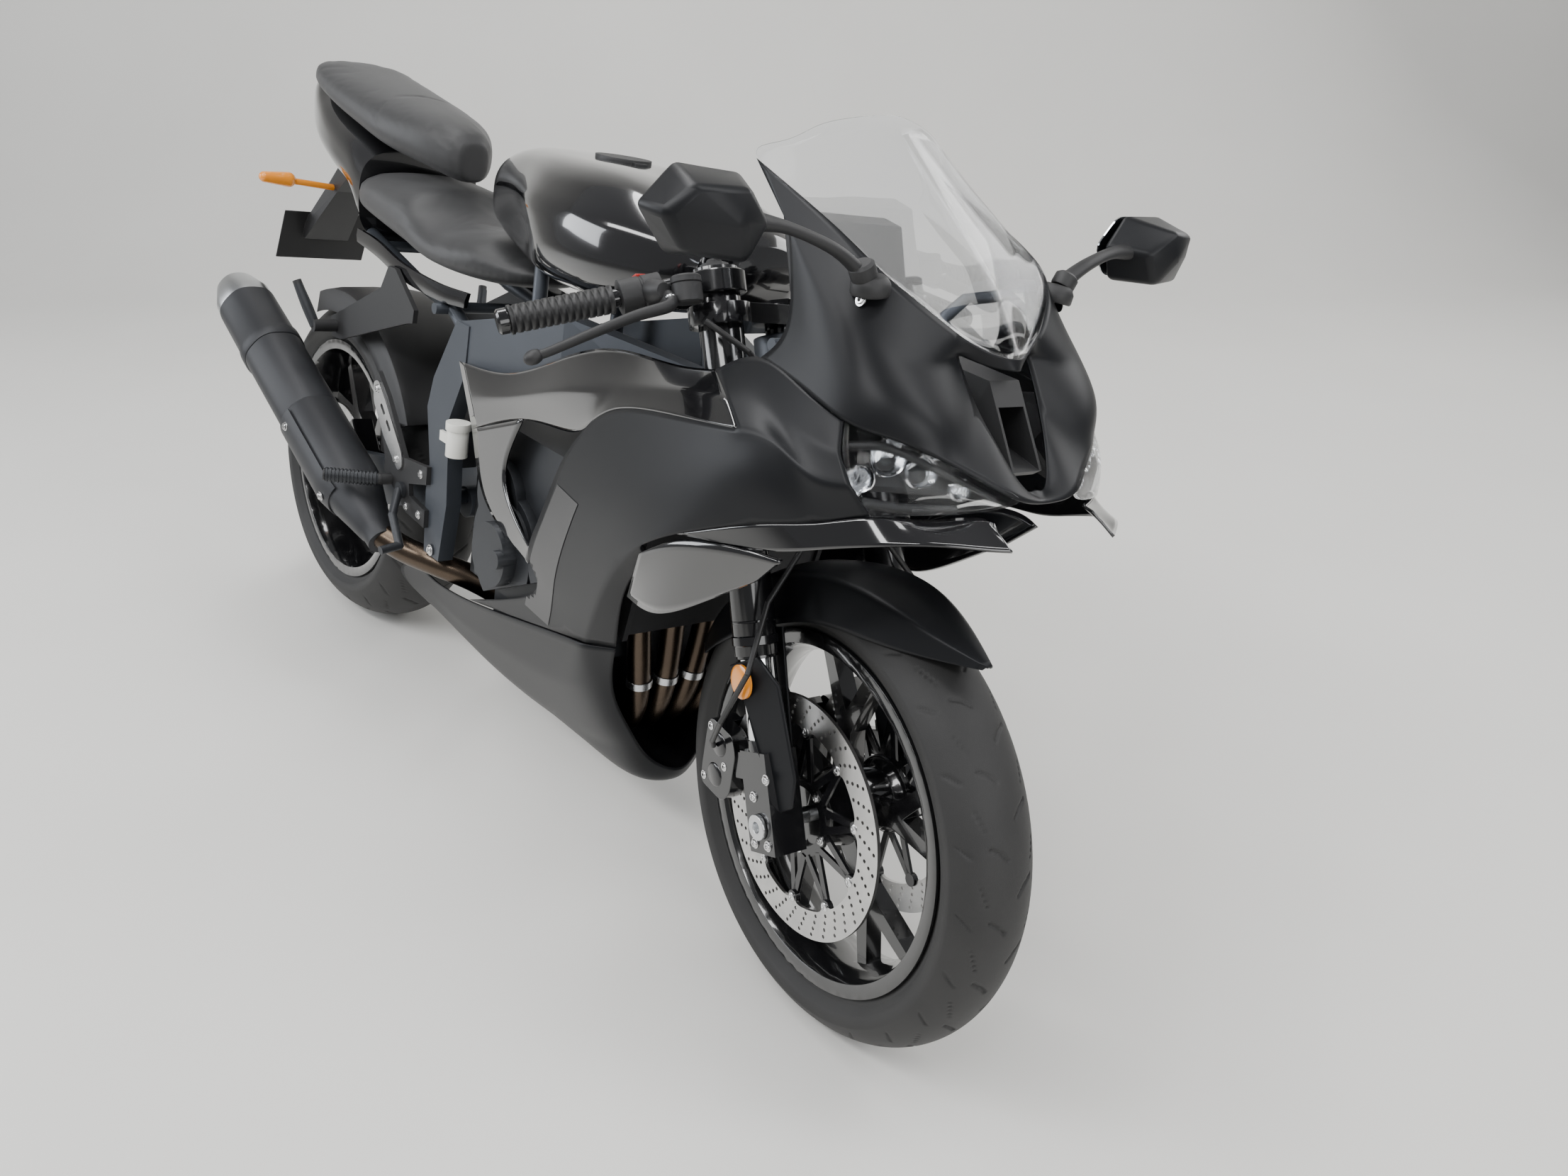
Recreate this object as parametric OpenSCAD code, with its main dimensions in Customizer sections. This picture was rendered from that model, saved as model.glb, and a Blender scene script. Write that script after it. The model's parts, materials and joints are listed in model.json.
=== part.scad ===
// Supersport motorcycle, parked on its side stand.
// Frame while modelling: +X forward, +Y left, +Z up, the rear axle above the origin, upright.
// park() then leans the whole machine onto its stand with both tyres on the floor.

/* [Chassis] */
// Distance between the two axles
wheelbase = 1400; // [1165:5:1680]
// Angle of the steering axis from upright
rake = 23.5; // [20:0.5:27]
// Distance on the floor from the steering axis to the front contact
trail = 101; // [85:1:121]
// Lean to the left on the side stand
lean = 12; // [10:0.5:14.4]
// Steering angle at rest, positive to the left
steer = -6; // [-15:1:15]
// Half of the gap between the two frame plates
plate_in = 118; // [112:1:124]
// Thickness of each frame plate
plate_t = 26; // [20:1:26]

/* [Tyres and rims] */
// Outer radius of the front tyre
front_r = 300; // [285:1:310]
// Width of the front tyre
front_w = 120; // [100:1:120]
// Outer radius of the rear tyre
rear_r = 315; // [300:1:325]
// Width of the rear tyre
rear_w = 180; // [150:1:180]
// Radius of both rims at the flange
rim_r = 231; // [225:1:236]
// Half width of the front rim
front_rim_w = 50; // [42:1:52]
// Half width of the rear rim
rear_rim_w = 80; // [66:1:82]
// Crown radius of a tyre as a share of its width
crown = 0.555; // [0.52:0.005:0.65]

/* [Axles and discs] */
// Radius of the hollow front axle
front_axle_r = 10; // [8:0.5:12]
// Radius of the hole through the front axle
front_axle_bore = 7; // [4:0.5:7]
// Radius of the rear axle
rear_axle_r = 12.5; // [10:0.5:15]
// Radius of the spool holes in the swingarm
spool_r = 4; // [3:0.5:5]
// Radial clearance of a running fit
run_gap = 0.05; // [0.02:0.01:0.1]
// Radius of the front brake discs
front_disc_r = 155; // [130:1:160]
// Distance of each front disc from the middle
front_disc_y = 69; // [67:1:71]
// Radius of the rear brake disc
rear_disc_r = 110; // [92:1:118]
// Thickness of the brake discs
disc_t = 5; // [4:0.5:6]

/* [Fork] */
// Half of the distance between the fork legs
fork_y = 105; // [102:1:110]
// Radius of the outer fork tubes
fork_r = 27; // [24:0.5:28]
// Radius of the chrome inner fork tubes
slider_r = 21.5; // [18:0.5:22]
// Radius of the steering stem
stem_r = 20; // [17:0.5:22]
// Radius of the bore up the steering stem
stem_bore = 9; // [6:0.5:11]

/* [Drive] */
// Pitch radius of the rear sprocket
rear_sprocket_r = 111; // [95:1:125]
// Pitch radius of the front sprocket
front_sprocket_r = 41; // [36:1:46]
// Distance of the chain from the middle
chain_y = 104; // [102:1:106]
// Bore of the silencer's outlet
outlet_r = 26; // [20:1:34]
// Radius of the silencer
silencer_r = 56; // [48:1:58]

/* [Body] */
// Thickness of the body panels, measured along the push
skin_t = 3.5; // [2.5:0.5:4]
// Radius of the fuel cap's lid
cap_r = 40; // [32:1:46]
// Reveal between the belly pan and the side fairing
belly_reveal = 3; // [2.8:0.1:6]

/* [Hidden] */
$fn = 48;

stretch = wheelbase / 1400;
seat_gap = 0.3;

// ---- where the machine stands ----

front_crown = front_w * crown;
rear_crown = rear_w * crown;
// point on the steering axis level with the front axle, and the axle's offset ahead of it
axis_foot = [wheelbase + trail, 0, 0]
    + ((front_r * cos(rake) + trail * sin(rake))) * [-sin(rake), 0, cos(rake)];
fork_x = front_r * sin(rake) - trail * cos(rake);
function turned_axle() = axis_foot + fork_x * [cos(rake) * cos(steer), sin(steer), sin(rake) * cos(steer)];
function turned_normal() = [-cos(rake) * sin(steer), cos(steer), -sin(rake) * sin(steer)];
function leaned_z(p) = -p.y * sin(lean) + p.z * cos(lean);
function lowest(c, n, r, rc) = leaned_z(c) - (r - rc) * sqrt(1 - pow(leaned_z(n), 2)) - rc;
rear_low = lowest([0, 0, rear_r], [0, 1, 0], rear_r, rear_crown);
front_low = lowest(turned_axle(), turned_normal(), front_r, front_crown);
lift = -rear_low;
pitch = asin((front_low - rear_low) / wheelbase);
function floor_height(p) = leaned_z(p) * cos(pitch) - p.x * sin(pitch) + lift;

// the middle of the parked machine's plan, which is the origin of the whole part
middle = [673 * stretch, 208];
module park() {
    translate([-middle.x, -middle.y, lift]) rotate([0, pitch, 0]) rotate([-lean, 0, 0]) children();
}

// frame of the steered parts: x ahead of the steering axis, z up along it from the axle's level
module steered() {
    park() translate(axis_foot) rotate([0, -rake, 0]) rotate([0, 0, steer]) children();
}

function at(x, y, z) = [x * stretch, y, z];
module both() {
    children();
    mirror([0, 1, 0]) children();
}

// ---- building blocks ----

module tube(a, b, r1, r2 = undef, fn = $fn) {
    v = b - a;
    translate(a) rotate([0, acos(v.z / norm(v)), atan2(v.y, v.x)])
        cylinder(h = norm(v), r1 = r1, r2 = is_undef(r2) ? r1 : r2, $fn = fn);
}

// round bar along a path, with a ball a little larger at each bend
module bar(path, r) {
    for (i = [0 : len(path) - 2]) tube(path[i], path[i + 1], r);
    for (i = [1 : 1 : len(path) - 2]) translate(path[i]) sphere(r + 0.15);
}

// plate in a plane along X and Z, from y0 to y1
module plate(outline, y0, y1) {
    translate([0, y1, 0]) rotate([90, 0, 0]) linear_extrude(y1 - y0) polygon([for (p = outline) [p.x * stretch, p.y]]);
}

module block(low, high) {
    translate([low.x * stretch, low.y, low.z])
        cube([(high.x - low.x) * stretch, high.y - low.y, high.z - low.z]);
}

// ring about the wheel axis, from a profile of [radius, y]
module turned(profile, fn = 96) {
    rotate([-90, 0, 0]) rotate_extrude($fn = fn) polygon(profile);
}

// closed skin from a list of faces given by their corner points, as thick as the push
function facing(f) = len(f) == 4 ? cross(f[2] - f[0], f[3] - f[1]) : cross(f[1] - f[0], f[2] - f[0]);
function outward(f, push) = facing(f) * push > 0 ? [for (i = [len(f) - 1 : -1 : 0]) f[i]] : f;
function find(p, points, i = 0) = points[i] == p ? i : find(p, points, i + 1);
function once(list) = [for (i = [0 : len(list) - 1]) if (find(list[i], list) == i) list[i]];
function triangles(f) = len(f) == 4 ? [[f[0], f[1], f[2]], [f[0], f[2], f[3]]] : [f];
function has(edge, edges) = len([for (e = edges) if (e == edge) 1]) > 0;
module skin(faces, push) {
    good = [for (f = faces) outward(f, push)];
    points = once([for (f = good) each f]);
    n = len(points);
    tris = [for (f = good) for (t = triangles(f)) [for (p = t) find(p, points)]];
    edges = [for (t = tris) for (i = [0 : 2]) [t[i], t[(i + 1) % 3]]];
    rim = [for (e = edges) if (!has([e[1], e[0]], edges)) e];
    // points on the middle plane stay on it, so that the two halves meet face to face
    all = [for (k = [0, 1]) for (p = points)
        [(p.x + k * push.x) * stretch, p.y + (p.y == 0 ? 0 : k * push.y), p.z + k * push.z]];
    polyhedron(all, concat(
        [for (t = tris) [t[2], t[1], t[0]]],
        [for (t = tris) [t[0] + n, t[1] + n, t[2] + n]],
        [for (e = rim) [e[0], e[1], e[1] + n]],
        [for (e = rim) [e[0], e[1] + n, e[0] + n]]));
}
function strip(a, b) = [for (i = [0 : len(a) - 2]) [a[i], a[i + 1], b[i + 1], b[i]]];

// closed form lofted along X through stations of [x, half width, top, bottom], with squared corners
corner = 2.8;
ring_n = 20;
function sgn_pow(v, e) = sign(v) * pow(abs(v), e);
function ring(s, c) = [for (k = [0 : ring_n - 1]) let (a = (k + 0.5) * 360 / ring_n)
    [s[0] * stretch, s[1] * sgn_pow(cos(a), 2 / c), (s[2] + s[3]) / 2 + (s[2] - s[3]) / 2 * sgn_pow(sin(a), 2 / c)]];
module loft(stations, c = corner) {
    m = len(stations);
    flip = stations[m - 1][0] > stations[0][0];
    rings = [for (i = [0 : m - 1]) each ring(stations[flip ? i : m - 1 - i], c)];
    polyhedron(rings, concat(
        [[for (k = [0 : ring_n - 1]) k]],
        [for (i = [0 : m - 2]) for (k = [0 : ring_n - 1]) let (a = i * ring_n + k, b = i * ring_n + (k + 1) % ring_n)
            each [[a, b + ring_n, b], [a, a + ring_n, b + ring_n]]],
        [[for (k = [ring_n - 1 : -1 : 0]) (m - 1) * ring_n + k]]));
}

// ---- body lines, left side, each from the rear or the top forward ----

screen_edge = [[1220, 150, 1045], [1360, 144, 996], [1420, 130, 964], [1452, 100, 940], [1476, 66, 917],
    [1495, 32, 901], [1508, 0, 898]];
screen_mid = [[1290, 146, 1022], [1345, 125, 1017], [1385, 98, 1000], [1412, 68, 990], [1430, 34, 984],
    [1435, 0, 982]];
screen_top = [[1220, 150, 1045], [1235, 128, 1066], [1246, 98, 1086], [1256, 68, 1098], [1263, 34, 1106],
    [1265, 0, 1110]];
shoulder = [[1300, 160, 986], [1366, 170, 940], [1432, 168, 914], [1474, 146, 894], [1490, 104, 885]];
cheek = [[1336, 171, 897], [1402, 184, 878], [1471, 184, 862], [1514, 156, 849], [1537, 110, 834]];
hem = [[1255, 190, 822], [1312, 180, 851], [1394, 190, 841], [1465, 190, 825]];
lamp_top = [[1505, 163, 818], [1537, 126, 806], [1562, 86, 790], [1586, 44, 773]];
mouth = [[1475, 55, 893], [1508, 50, 849], [1537, 38, 815], [1565, 18, 777]];
mouth_top = [[1496, 22, 885], [1512, 0, 886]];
nose = [1585, 0, 768];
mouth_lip = [1567, 0, 776];
lamp_rear = [[1480, 200, 796], [1504, 200, 769], [1516, 180, 742]];
lamp_mid = [[1525, 172, 790], [1552, 124, 780]];
lamp_low = [[1548, 142, 752], [1570, 92, 758]];
side_a = [[1044, 204, 702], [994, 203, 647], [962, 202, 588], [932, 200, 522], [911, 195, 466], [912, 180, 414]];
side_b = [[1113, 215, 738], [1096, 221, 675], [1085, 226, 613], [1065, 222, 549], [1035, 208, 477],
    [1009, 182, 391]];
side_c = [[1210, 227, 762], [1204, 238, 702], [1198, 246, 643], [1187, 240, 570], [1127, 220, 500],
    [1054, 184, 401]];
side_d = [[1293, 236, 777], [1289, 246, 726], [1280, 252, 677], [1241, 250, 616]];
side_e = [[1367, 241, 790], [1363, 248, 747], [1350, 251, 707], [1307, 253, 654]];
side_low = [[653, 138, 292], [847, 164, 346]];
turn_in = [[1238, 232, 598], [1189, 218, 553], [1145, 198, 494], [1094, 162, 408]];
brow = [1320, 221, 808];
cheek_in = [[1355, 206, 819], [1411, 228, 797], [1424, 240, 760], [1463, 222, 763], [1440, 212, 801]];
chin = [[1404, 234, 698], [1468, 206, 720]];
cover_top = [[591, 152, 662], [763, 164, 688], [926, 177, 754], [1046, 178, 793], [1152, 174, 802],
    [1255, 190, 822]];
cover_mid = [[634, 158, 614], [803, 172, 662], [945, 194, 714], [1090, 206, 757], [1225, 214, 794], brow];
cover_low = [[658, 158, 575], [823, 170, 639], [970, 186, 664]];
blade_out = [cover_low[0], [678, 158, 528], [714, 160, 484], [791, 168, 459], [887, 180, 449]];
blade_in = [cover_low[1], [777, 164, 565], [787, 165, 519], [835, 172, 490], [892, 182, 473]];
wing_low = [[1352, 244, 662], [1427, 224, 676], [1483, 204, 697], [1535, 184, 717], [1579, 150, 732],
    [1609, 108, 734], [1624, 84, 735]];
wing_top = [side_e[3], chin[0], chin[1], lamp_rear[2], [1547, 138, 745], [1572, 90, 753], [1591, 84, 752]];
belly_top = [[453, 100, 245], side_low[0], side_low[1], side_b[5], side_c[5], turn_in[3]];
belly_mid = [[446, 94, 214], [588, 112, 220], [765, 128, 250], [925, 140, 279], [1032, 164, 329], [1064, 140, 350]];
belly_low = [[422, 80, 178], [550, 78, 165], [662, 76, 156], [820, 74, 159], [1018, 132, 263], [1051, 116, 296]];
belly_floor = [[430, 0, 150], [560, 0, 136], [660, 0, 131], [850, 0, 130], [1000, 0, 132]];
belly_front = [[1019, 92, 202], [1050, 84, 244], [1032, 52, 145], [1050, 42, 191]];
belly_nose = [[985, 62, 150], [1058, 0, 146], [1068, 0, 176]];
belly_tail = [[280, 78, 190], [381, 96, 257]];
pod_up = [[1237, 246, 610], [1304, 246, 650], [1384, 232, 670], [1434, 210, 671]];
pod_low = [[1183, 216, 532], [1249, 218, 537], [1327, 212, 585], [1397, 206, 635]];
lens = [[1248, 243, 605], [1311, 243, 643], [1396, 223, 646], [1262, 228, 556]];

side_push = [0, -skin_t, 0];
nose_push = [-skin_t, -skin_t * 0.6, 0];
belly_push = [-1, -skin_t * 0.7, skin_t * 0.7];
nose_shift = [skin_t + seat_gap, 0, 0];

// ---- frame, engine and drive ----

pivot = at(528, 0, 420);
rear_axle_at = [0, 0, rear_r];
head_low = 372;
head_high = 592;
function on_axis(s) = axis_foot + s * [-sin(rake), 0, cos(rake)];
head_r = stem_r + 16;
weld_gap = 0.1;
pad_top = 845;

module head_place() {
    translate(axis_foot) rotate([0, -rake, 0]) children();
}
module spar(y_sign) {
    hull() {
        block([560, y_sign > 0 ? 112 : -142, 645], [620, y_sign > 0 ? 142 : -112, 715]);
        block([840, y_sign > 0 ? 112 : -142, 690], [860, y_sign > 0 ? 142 : -112, 790]);
    }
    hull() {
        block([840, y_sign > 0 ? 112 : -142, 690], [860, y_sign > 0 ? 142 : -112, 790]);
        head_place() translate([-head_r + 4, y_sign * 22 - 10, head_low + 30]) cube([12, 20, 120]);
    }
}
module frame() {
    color("#33373d") park() {
        difference() {
            for (s = [1, -1]) spar(s);
            head_place() translate([0, 0, head_low - 1])
                cylinder(r = head_r + weld_gap, h = head_high - head_low + 2, $fn = 96);
        }
        both() plate([[560, 716], [496, 612], [480, 560], [500, 470], [492, 420], [498, 318], [550, 318],
            [566, 420], [560, 500], [556, 560], [596, 640], [600, 716]], plate_in, plate_in + plate_t);
        tube(at(670, -113, 700), at(670, 113, 700), 16);
        for (y = [-70, 70]) tube(at(670, y, 690), at(670, y, pad_top), 11);
        tube(at(528, -plate_in - 8, 420), at(528, plate_in + 8, 420), 12);
        both() tube(at(520, plate_in + 1, 640), at(520, 92, 640), 15);
        stand_bracket();
    }
}

module head_tube() {
    color("#33373d") park() head_place() difference() {
        translate([0, 0, head_low]) cylinder(r = head_r, h = head_high - head_low);
        translate([0, 0, head_low - 1]) cylinder(r = stem_r + run_gap, h = head_high - head_low + 2);
    }
}

arm_left = [118, 138];
arm_right = [97, 118];
function arm_outline() = [[-45, -26], [-58, 0], [-45, 26], [60, 34], [300, 40], [455, 36], [455, -30], [300, -46],
    [60, -34]];
function arm_point(p) = [p.x, rear_r + p.y + max(0, p.x) * (420 - rear_r) / 528];
// threaded holes for the spools of a paddock stand
spool_at = [85, 0, arm_point([85, 0]).y];
module swingarm() {
    color("#26282b") park() difference() {
        union() {
            plate([for (p = arm_outline()) arm_point(p)], arm_left[0], arm_left[1]);
            plate([for (p = arm_outline()) arm_point(p)], -arm_right[1], -arm_right[0]);
            block([400, -arm_right[1] + 1, 378], [470, arm_left[0] + 1, 424]);
            tube(at(528, -92, 410), at(528, 92, 410), 26);
            block([455, -80, 388], [520, 80, 424]);
        }
        tube(at(528, -200, 420), at(528, 200, 420), 12 + run_gap);
        tube([0, -200, rear_r], [0, 200, rear_r], rear_axle_r + run_gap);
        tube(spool_at - [0, 200, 0], spool_at + [0, 200, 0], spool_r);
    }
}

module rear_axle() {
    color("#b9bbbd") park() {
        tube([0, -arm_right[1] - 14, rear_r], [0, arm_left[1] + 14, rear_r], rear_axle_r);
        difference() {
            union() {
                tube([0, -arm_right[1] - 12, rear_r], [0, -arm_right[1], rear_r], 21, fn = 6);
                tube([0, arm_left[1], rear_r], [0, arm_left[1] + 12, rear_r], 21, fn = 6);
            }
            tube([0, -arm_right[1] - 13, rear_r], [0, arm_left[1] + 13, rear_r], rear_axle_r - 0.5);
        }
    }
}

engine_face = 135;
module engine() {
    color("#2c2e31") park() {
        block([655, -engine_face, 340], [1000, engine_face, 600]);
        block([655, -95, 250], [960, 95, 341]);
        block([560, -90, 300], [656, 90, 580]);
        block([520, -plate_in, 480], [561, plate_in, 540]);
        both() fairing_brackets();
    }
}

clutch_at = [764, 415];
wedge_line = [[560, 250], [560, 275], [653, 303], [912, 430], [912, 250]];
module side_disc(c, r, depth, y = engine_face) {
    tube(at(c.x, y, c.y), at(c.x, y + depth, c.y), r);
}
module engine_covers() {
    color("#3a3c3f") park() {
        mirror([0, 1, 0]) difference() {
            union() {
                side_disc(clutch_at, 96, 14);
                side_disc(clutch_at, 84, 19);
                side_disc(clutch_at, 49, 40);
                side_disc([735, 490], 60, 16);
                side_disc([800, 421], 14, 50);
                side_disc([905, 440], 52, 24);
            }
            plate(wedge_line, engine_face - 1, 260);
        }
        difference() {
            union() {
                side_disc([790, 420], 84, 14);
                side_disc([790, 420], 60, 22);
            }
            plate(wedge_line, engine_face - 1, 260);
        }
        plate([[572, 360], [572, 470], [640, 480], [655, 470], [655, 350], [620, 340]], 124, 150);
    }
}

radiator_foot = [1066, 430];
radiator_head = [1106, 645];
module radiator() {
    color("#1c1c1d") park() {
        plate([radiator_foot, radiator_head, radiator_head + [30, -6], radiator_foot + [30, -6]], -150, 150);
        both() plate([radiator_foot + [-4, 4], radiator_head + [-4, -4], radiator_head + [34, -12],
            radiator_foot + [34, -12]], 149, 157);
        block([1000, -13, 470], [1076, 13, 490]);
    }
}

header_y = [-96, -32, 32, 96];
silencer_front = at(385, -178, 318);
silencer_rear = at(-255, -195, 590);
silencer_dir = (silencer_rear - silencer_front) / norm(silencer_rear - silencer_front);
module exhaust_headers() {
    color("#6d5a48") park() {
        for (y = header_y) bar([at(1000, y, 530), at(1022, y, 530), at(1036, y * 0.95, 440),
            at(1030, y * 0.7, 300), at(985, y * 0.55, 218), at(790, y * 0.4, 205)], 17);
        tube(at(800, 0, 205), at(650, 0, 205), 40, 34);
        bar([at(652, 0, 205), at(585, -25, 252), at(505, -118, 292), silencer_front - silencer_dir * 40,
            silencer_front - silencer_dir * seat_gap], 22);
    }
}

function along(a, b, t) = a + (b - a) * t;
// turned about its own axis: cone, body with a band, tapered end with the outlet
module silencer() {
    v = silencer_rear - silencer_front;
    long = norm(v);
    color("#1b1c1e") park() {
        translate(silencer_front) rotate([0, acos(v.z / long), atan2(v.y, v.x)]) rotate_extrude($fn = 72)
            polygon([[0, 0], [30, 0], [silencer_r, long * 0.16], [silencer_r, long * 0.7],
                [silencer_r + 3, long * 0.705], [silencer_r + 3, long * 0.73], [silencer_r, long * 0.735],
                [silencer_r, long * 0.92], [outlet_r + 12, long], [outlet_r, long], [outlet_r, long * 0.8],
                [0, long * 0.8]]);
    }
}

rail = [at(542, 85, 650), at(430, 85, 708), at(300, 85, 724), at(108, 85, 766)];
rail_r = 12;
module subframe() {
    color("#26282b") park() both() {
        bar([rail[0], rail[1], rail[2], rail[3]], rail_r);
        tube(at(542, 80, 650), at(542, plate_in, 650), 14);
        for (p = [[285, 728], [430, 706]]) tube(at(p.x, 86, p.y), at(p.x, 118, p.y), 9);
        tube(at(430, 0, 708), at(430, 86, 708), 9);
        tube(at(160, 0, 755), at(160, 86, 755), 9);
    }
}

sprocket_at = at(605, 0, 410);
// chain run: outline round two sprockets and along the tangents between them
function arc(c, r, a0, a1, n) = [for (k = [0 : n]) let (a = a0 + (a1 - a0) * k / n) c + r * [cos(a), sin(a)]];
module chain_shape(r1, r2, w) {
    d = norm(sprocket_at - rear_axle_at);
    tilt = atan2(sprocket_at.z - rear_axle_at.z, sprocket_at.x);
    a = acos((r1 - r2) / d);
    translate(rear_axle_at) rotate([0, -tilt, 0]) rotate([90, 0, 0]) linear_extrude(w, center = true)
        polygon(concat(arc([0, 0], r1, a, 360 - a, 40), arc([d, 0], r2, -a, a, 24)));
}
module chain() {
    color("#8c8a80") park() {
        translate([0, chain_y, 0]) difference() {
            chain_shape(rear_sprocket_r + 7.5, front_sprocket_r + 7.5, 14);
            chain_shape(rear_sprocket_r - 6.5, front_sprocket_r - 6.5, 18);
        }
        tube(sprocket_at + [0, 90, 0], sprocket_at + [0, chain_y + 4, 0], front_sprocket_r - 7);
    }
}

// ---- wheels ----

// a wheel's own frame: axis along Y through the origin
module rim(half, hub_r, hub_half, bore, spoke_half) {
    difference() {
        union() {
            turned([[rim_r, -half], [rim_r, -half + 5], [rim_r - 13, -half + 9], [rim_r - 16, -18], [rim_r - 24, -10],
                [rim_r - 24, 10], [rim_r - 16, 18], [rim_r - 13, half - 9], [rim_r, half - 5], [rim_r, half],
                [rim_r - 18, half - 1], [rim_r - 32, 14], [rim_r - 32, -14], [rim_r - 18, -half + 1]]);
            turned([[0, -hub_half], [hub_r, -hub_half], [hub_r * 0.8, -hub_half + 12], [hub_r, -10], [hub_r, 10],
                [hub_r * 0.8, hub_half - 12], [hub_r, hub_half], [0, hub_half]]);
            for (k = [0 : 4]) rotate([0, k * 72, 0]) rotate([90, 0, 0]) linear_extrude(2 * spoke_half, center = true)
                polygon([[hub_r - 6, -17], [105, -13], [rim_r - 35, -56], [rim_r - 32, -38], [130, 0],
                    [rim_r - 32, 38], [rim_r - 35, 56], [105, 13], [hub_r - 6, 17]]);
        }
        tube([0, -hub_half - 1, 0], [0, hub_half + 1, 0], bore);
    }
}

module tyre(r, w, rim_half) {
    rc = w * crown;
    edge = asin(w / 2 / rc);
    shoulder_r = r - rc + rc * cos(edge);
    arc = [for (k = [-16 : 16]) let (a = edge * k / 16) [r - rc + rc * cos(a), rc * sin(a)]];
    turned(concat([[rim_r - 12.6, 9.4 - rim_half], [rim_r + 1, 5.2 - rim_half], [(rim_r + shoulder_r) / 2, -w / 2 + 2]], arc,
        [[(rim_r + shoulder_r) / 2, w / 2 - 2], [rim_r + 1, rim_half - 5.2],
            [rim_r - 12.6, rim_half - 9.4]]), 144);
}

// brake disc: braking ring, carrier arms and mounting ring, from y0 outwards
module disc(r, band, hub_r, t, y0, arms) {
    turned([[r - band, y0], [r, y0], [r, y0 + t], [r - band, y0 + t]]);
    turned([[hub_r - 12, y0 - 6], [hub_r, y0 - 6], [hub_r, y0 + 1], [hub_r - 12, y0 + 1]]);
    for (k = [0 : arms - 1]) rotate([0, k * 360 / arms, 0])
        translate([hub_r - 5, y0 - 5, -7]) cube([r - band - hub_r + 10, 6, 14]);
}

module front_wheel_place() {
    steered() translate([fork_x, 0, 0]) children();
}
module rear_wheel_place() {
    park() translate(rear_axle_at) children();
}
front_hub_half = front_disc_y - disc_t / 2 - 6;
module front_tyre() {
    color("#161616") front_wheel_place() tyre(front_r, front_w, front_rim_w);
}
module front_rim() {
    color("#0d0e10") front_wheel_place() rim(front_rim_w, 50, front_hub_half, front_axle_r + run_gap, 12);
}
module front_discs() {
    color("#a9abad") front_wheel_place() both()
        disc(front_disc_r, 40, 50, disc_t, front_disc_y - disc_t / 2, 8);
}
module rear_tyre() {
    color("#161616") rear_wheel_place() tyre(rear_r, rear_w, rear_rim_w);
}
rear_disc_y = 80;
rear_hub_half = 90;
module rear_rim() {
    color("#0d0e10") rear_wheel_place() difference() {
        rim(rear_rim_w, 46, rear_hub_half, rear_axle_r + run_gap, 16);
        for (s = [1, -1]) tube([0, s * (rear_disc_y - disc_t / 2 - 6), 0], [0, s * 120, 0], 47);
    }
}
module rear_disc() {
    color("#a9abad") rear_wheel_place() mirror([0, 1, 0]) difference() {
        union() {
            disc(rear_disc_r, 34, 46, disc_t, rear_disc_y - disc_t / 2, 6);
            tube([0, rear_disc_y - disc_t / 2 - 6, 0], [0, 92, 0], 40);
        }
        tube([0, 0, 0], [0, 120, 0], rear_axle_r + run_gap);
    }
}
module rear_sprocket() {
    color("#4a4843") rear_wheel_place() difference() {
        union() {
            tube([0, rear_disc_y - disc_t / 2 - 6, 0], [0, arm_left[0] - seat_gap, 0], 42);
            tube([0, chain_y - 3, 0], [0, chain_y + 3, 0], rear_sprocket_r - 7.2, fn = 96);
        }
        tube([0, 0, 0], [0, 120, 0], rear_axle_r + run_gap);
        for (k = [0 : 5]) rotate([0, k * 60, 0]) translate([74, 0, 0]) rotate([90, 0, 0])
            cylinder(r = 17, h = 300, center = true);
    }
}

// ---- tail, tank and seats ----

tank_stations = [[452, 26, 905, 868], [468, 48, 936, 852], [500, 66, 962, 842], [560, 86, 980, 826],
    [640, 112, 988, 814], [740, 145, 990, 808], [840, 156, 989, 808], [920, 150, 980, 814], [1000, 126, 962, 828],
    [1040, 104, 946, 840], [1062, 82, 928, 852]];
cap_at = at(745, 0, 990);
cap_ring_r = cap_r + 14;
cap_depth = 6;
module fuel_tank() {
    color("#0b0b0d") park() difference() {
        loft(tank_stations, 2.6);
        translate(cap_at - [0, 0, cap_depth]) cylinder(r = cap_r + 2.5, h = 40);
        for (y = [-70, 70]) tube(at(670, y, 700), at(670, y, pad_top), 13);
        translate(cap_at + [cap_r - 2, -14, -cap_depth]) cube([16, 28, 40]);
    }
}
// lid with its hinge knuckle at the front edge
cap_hinge = cap_at + [cap_r + 8, 0, -cap_depth / 2 + 2];
module fuel_cap() {
    color("#1a1a1b") park() {
        translate(cap_at - [0, 0, cap_depth - seat_gap]) cylinder(r = cap_r, h = cap_depth + 3);
        translate(cap_at - [0, 0, cap_depth - seat_gap]) intersection() {
            translate([cap_r - 4, -10, 0]) cube([13, 20, cap_depth]);
            cylinder(r = cap_r + 9, h = 20);
        }
    }
}

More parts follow.
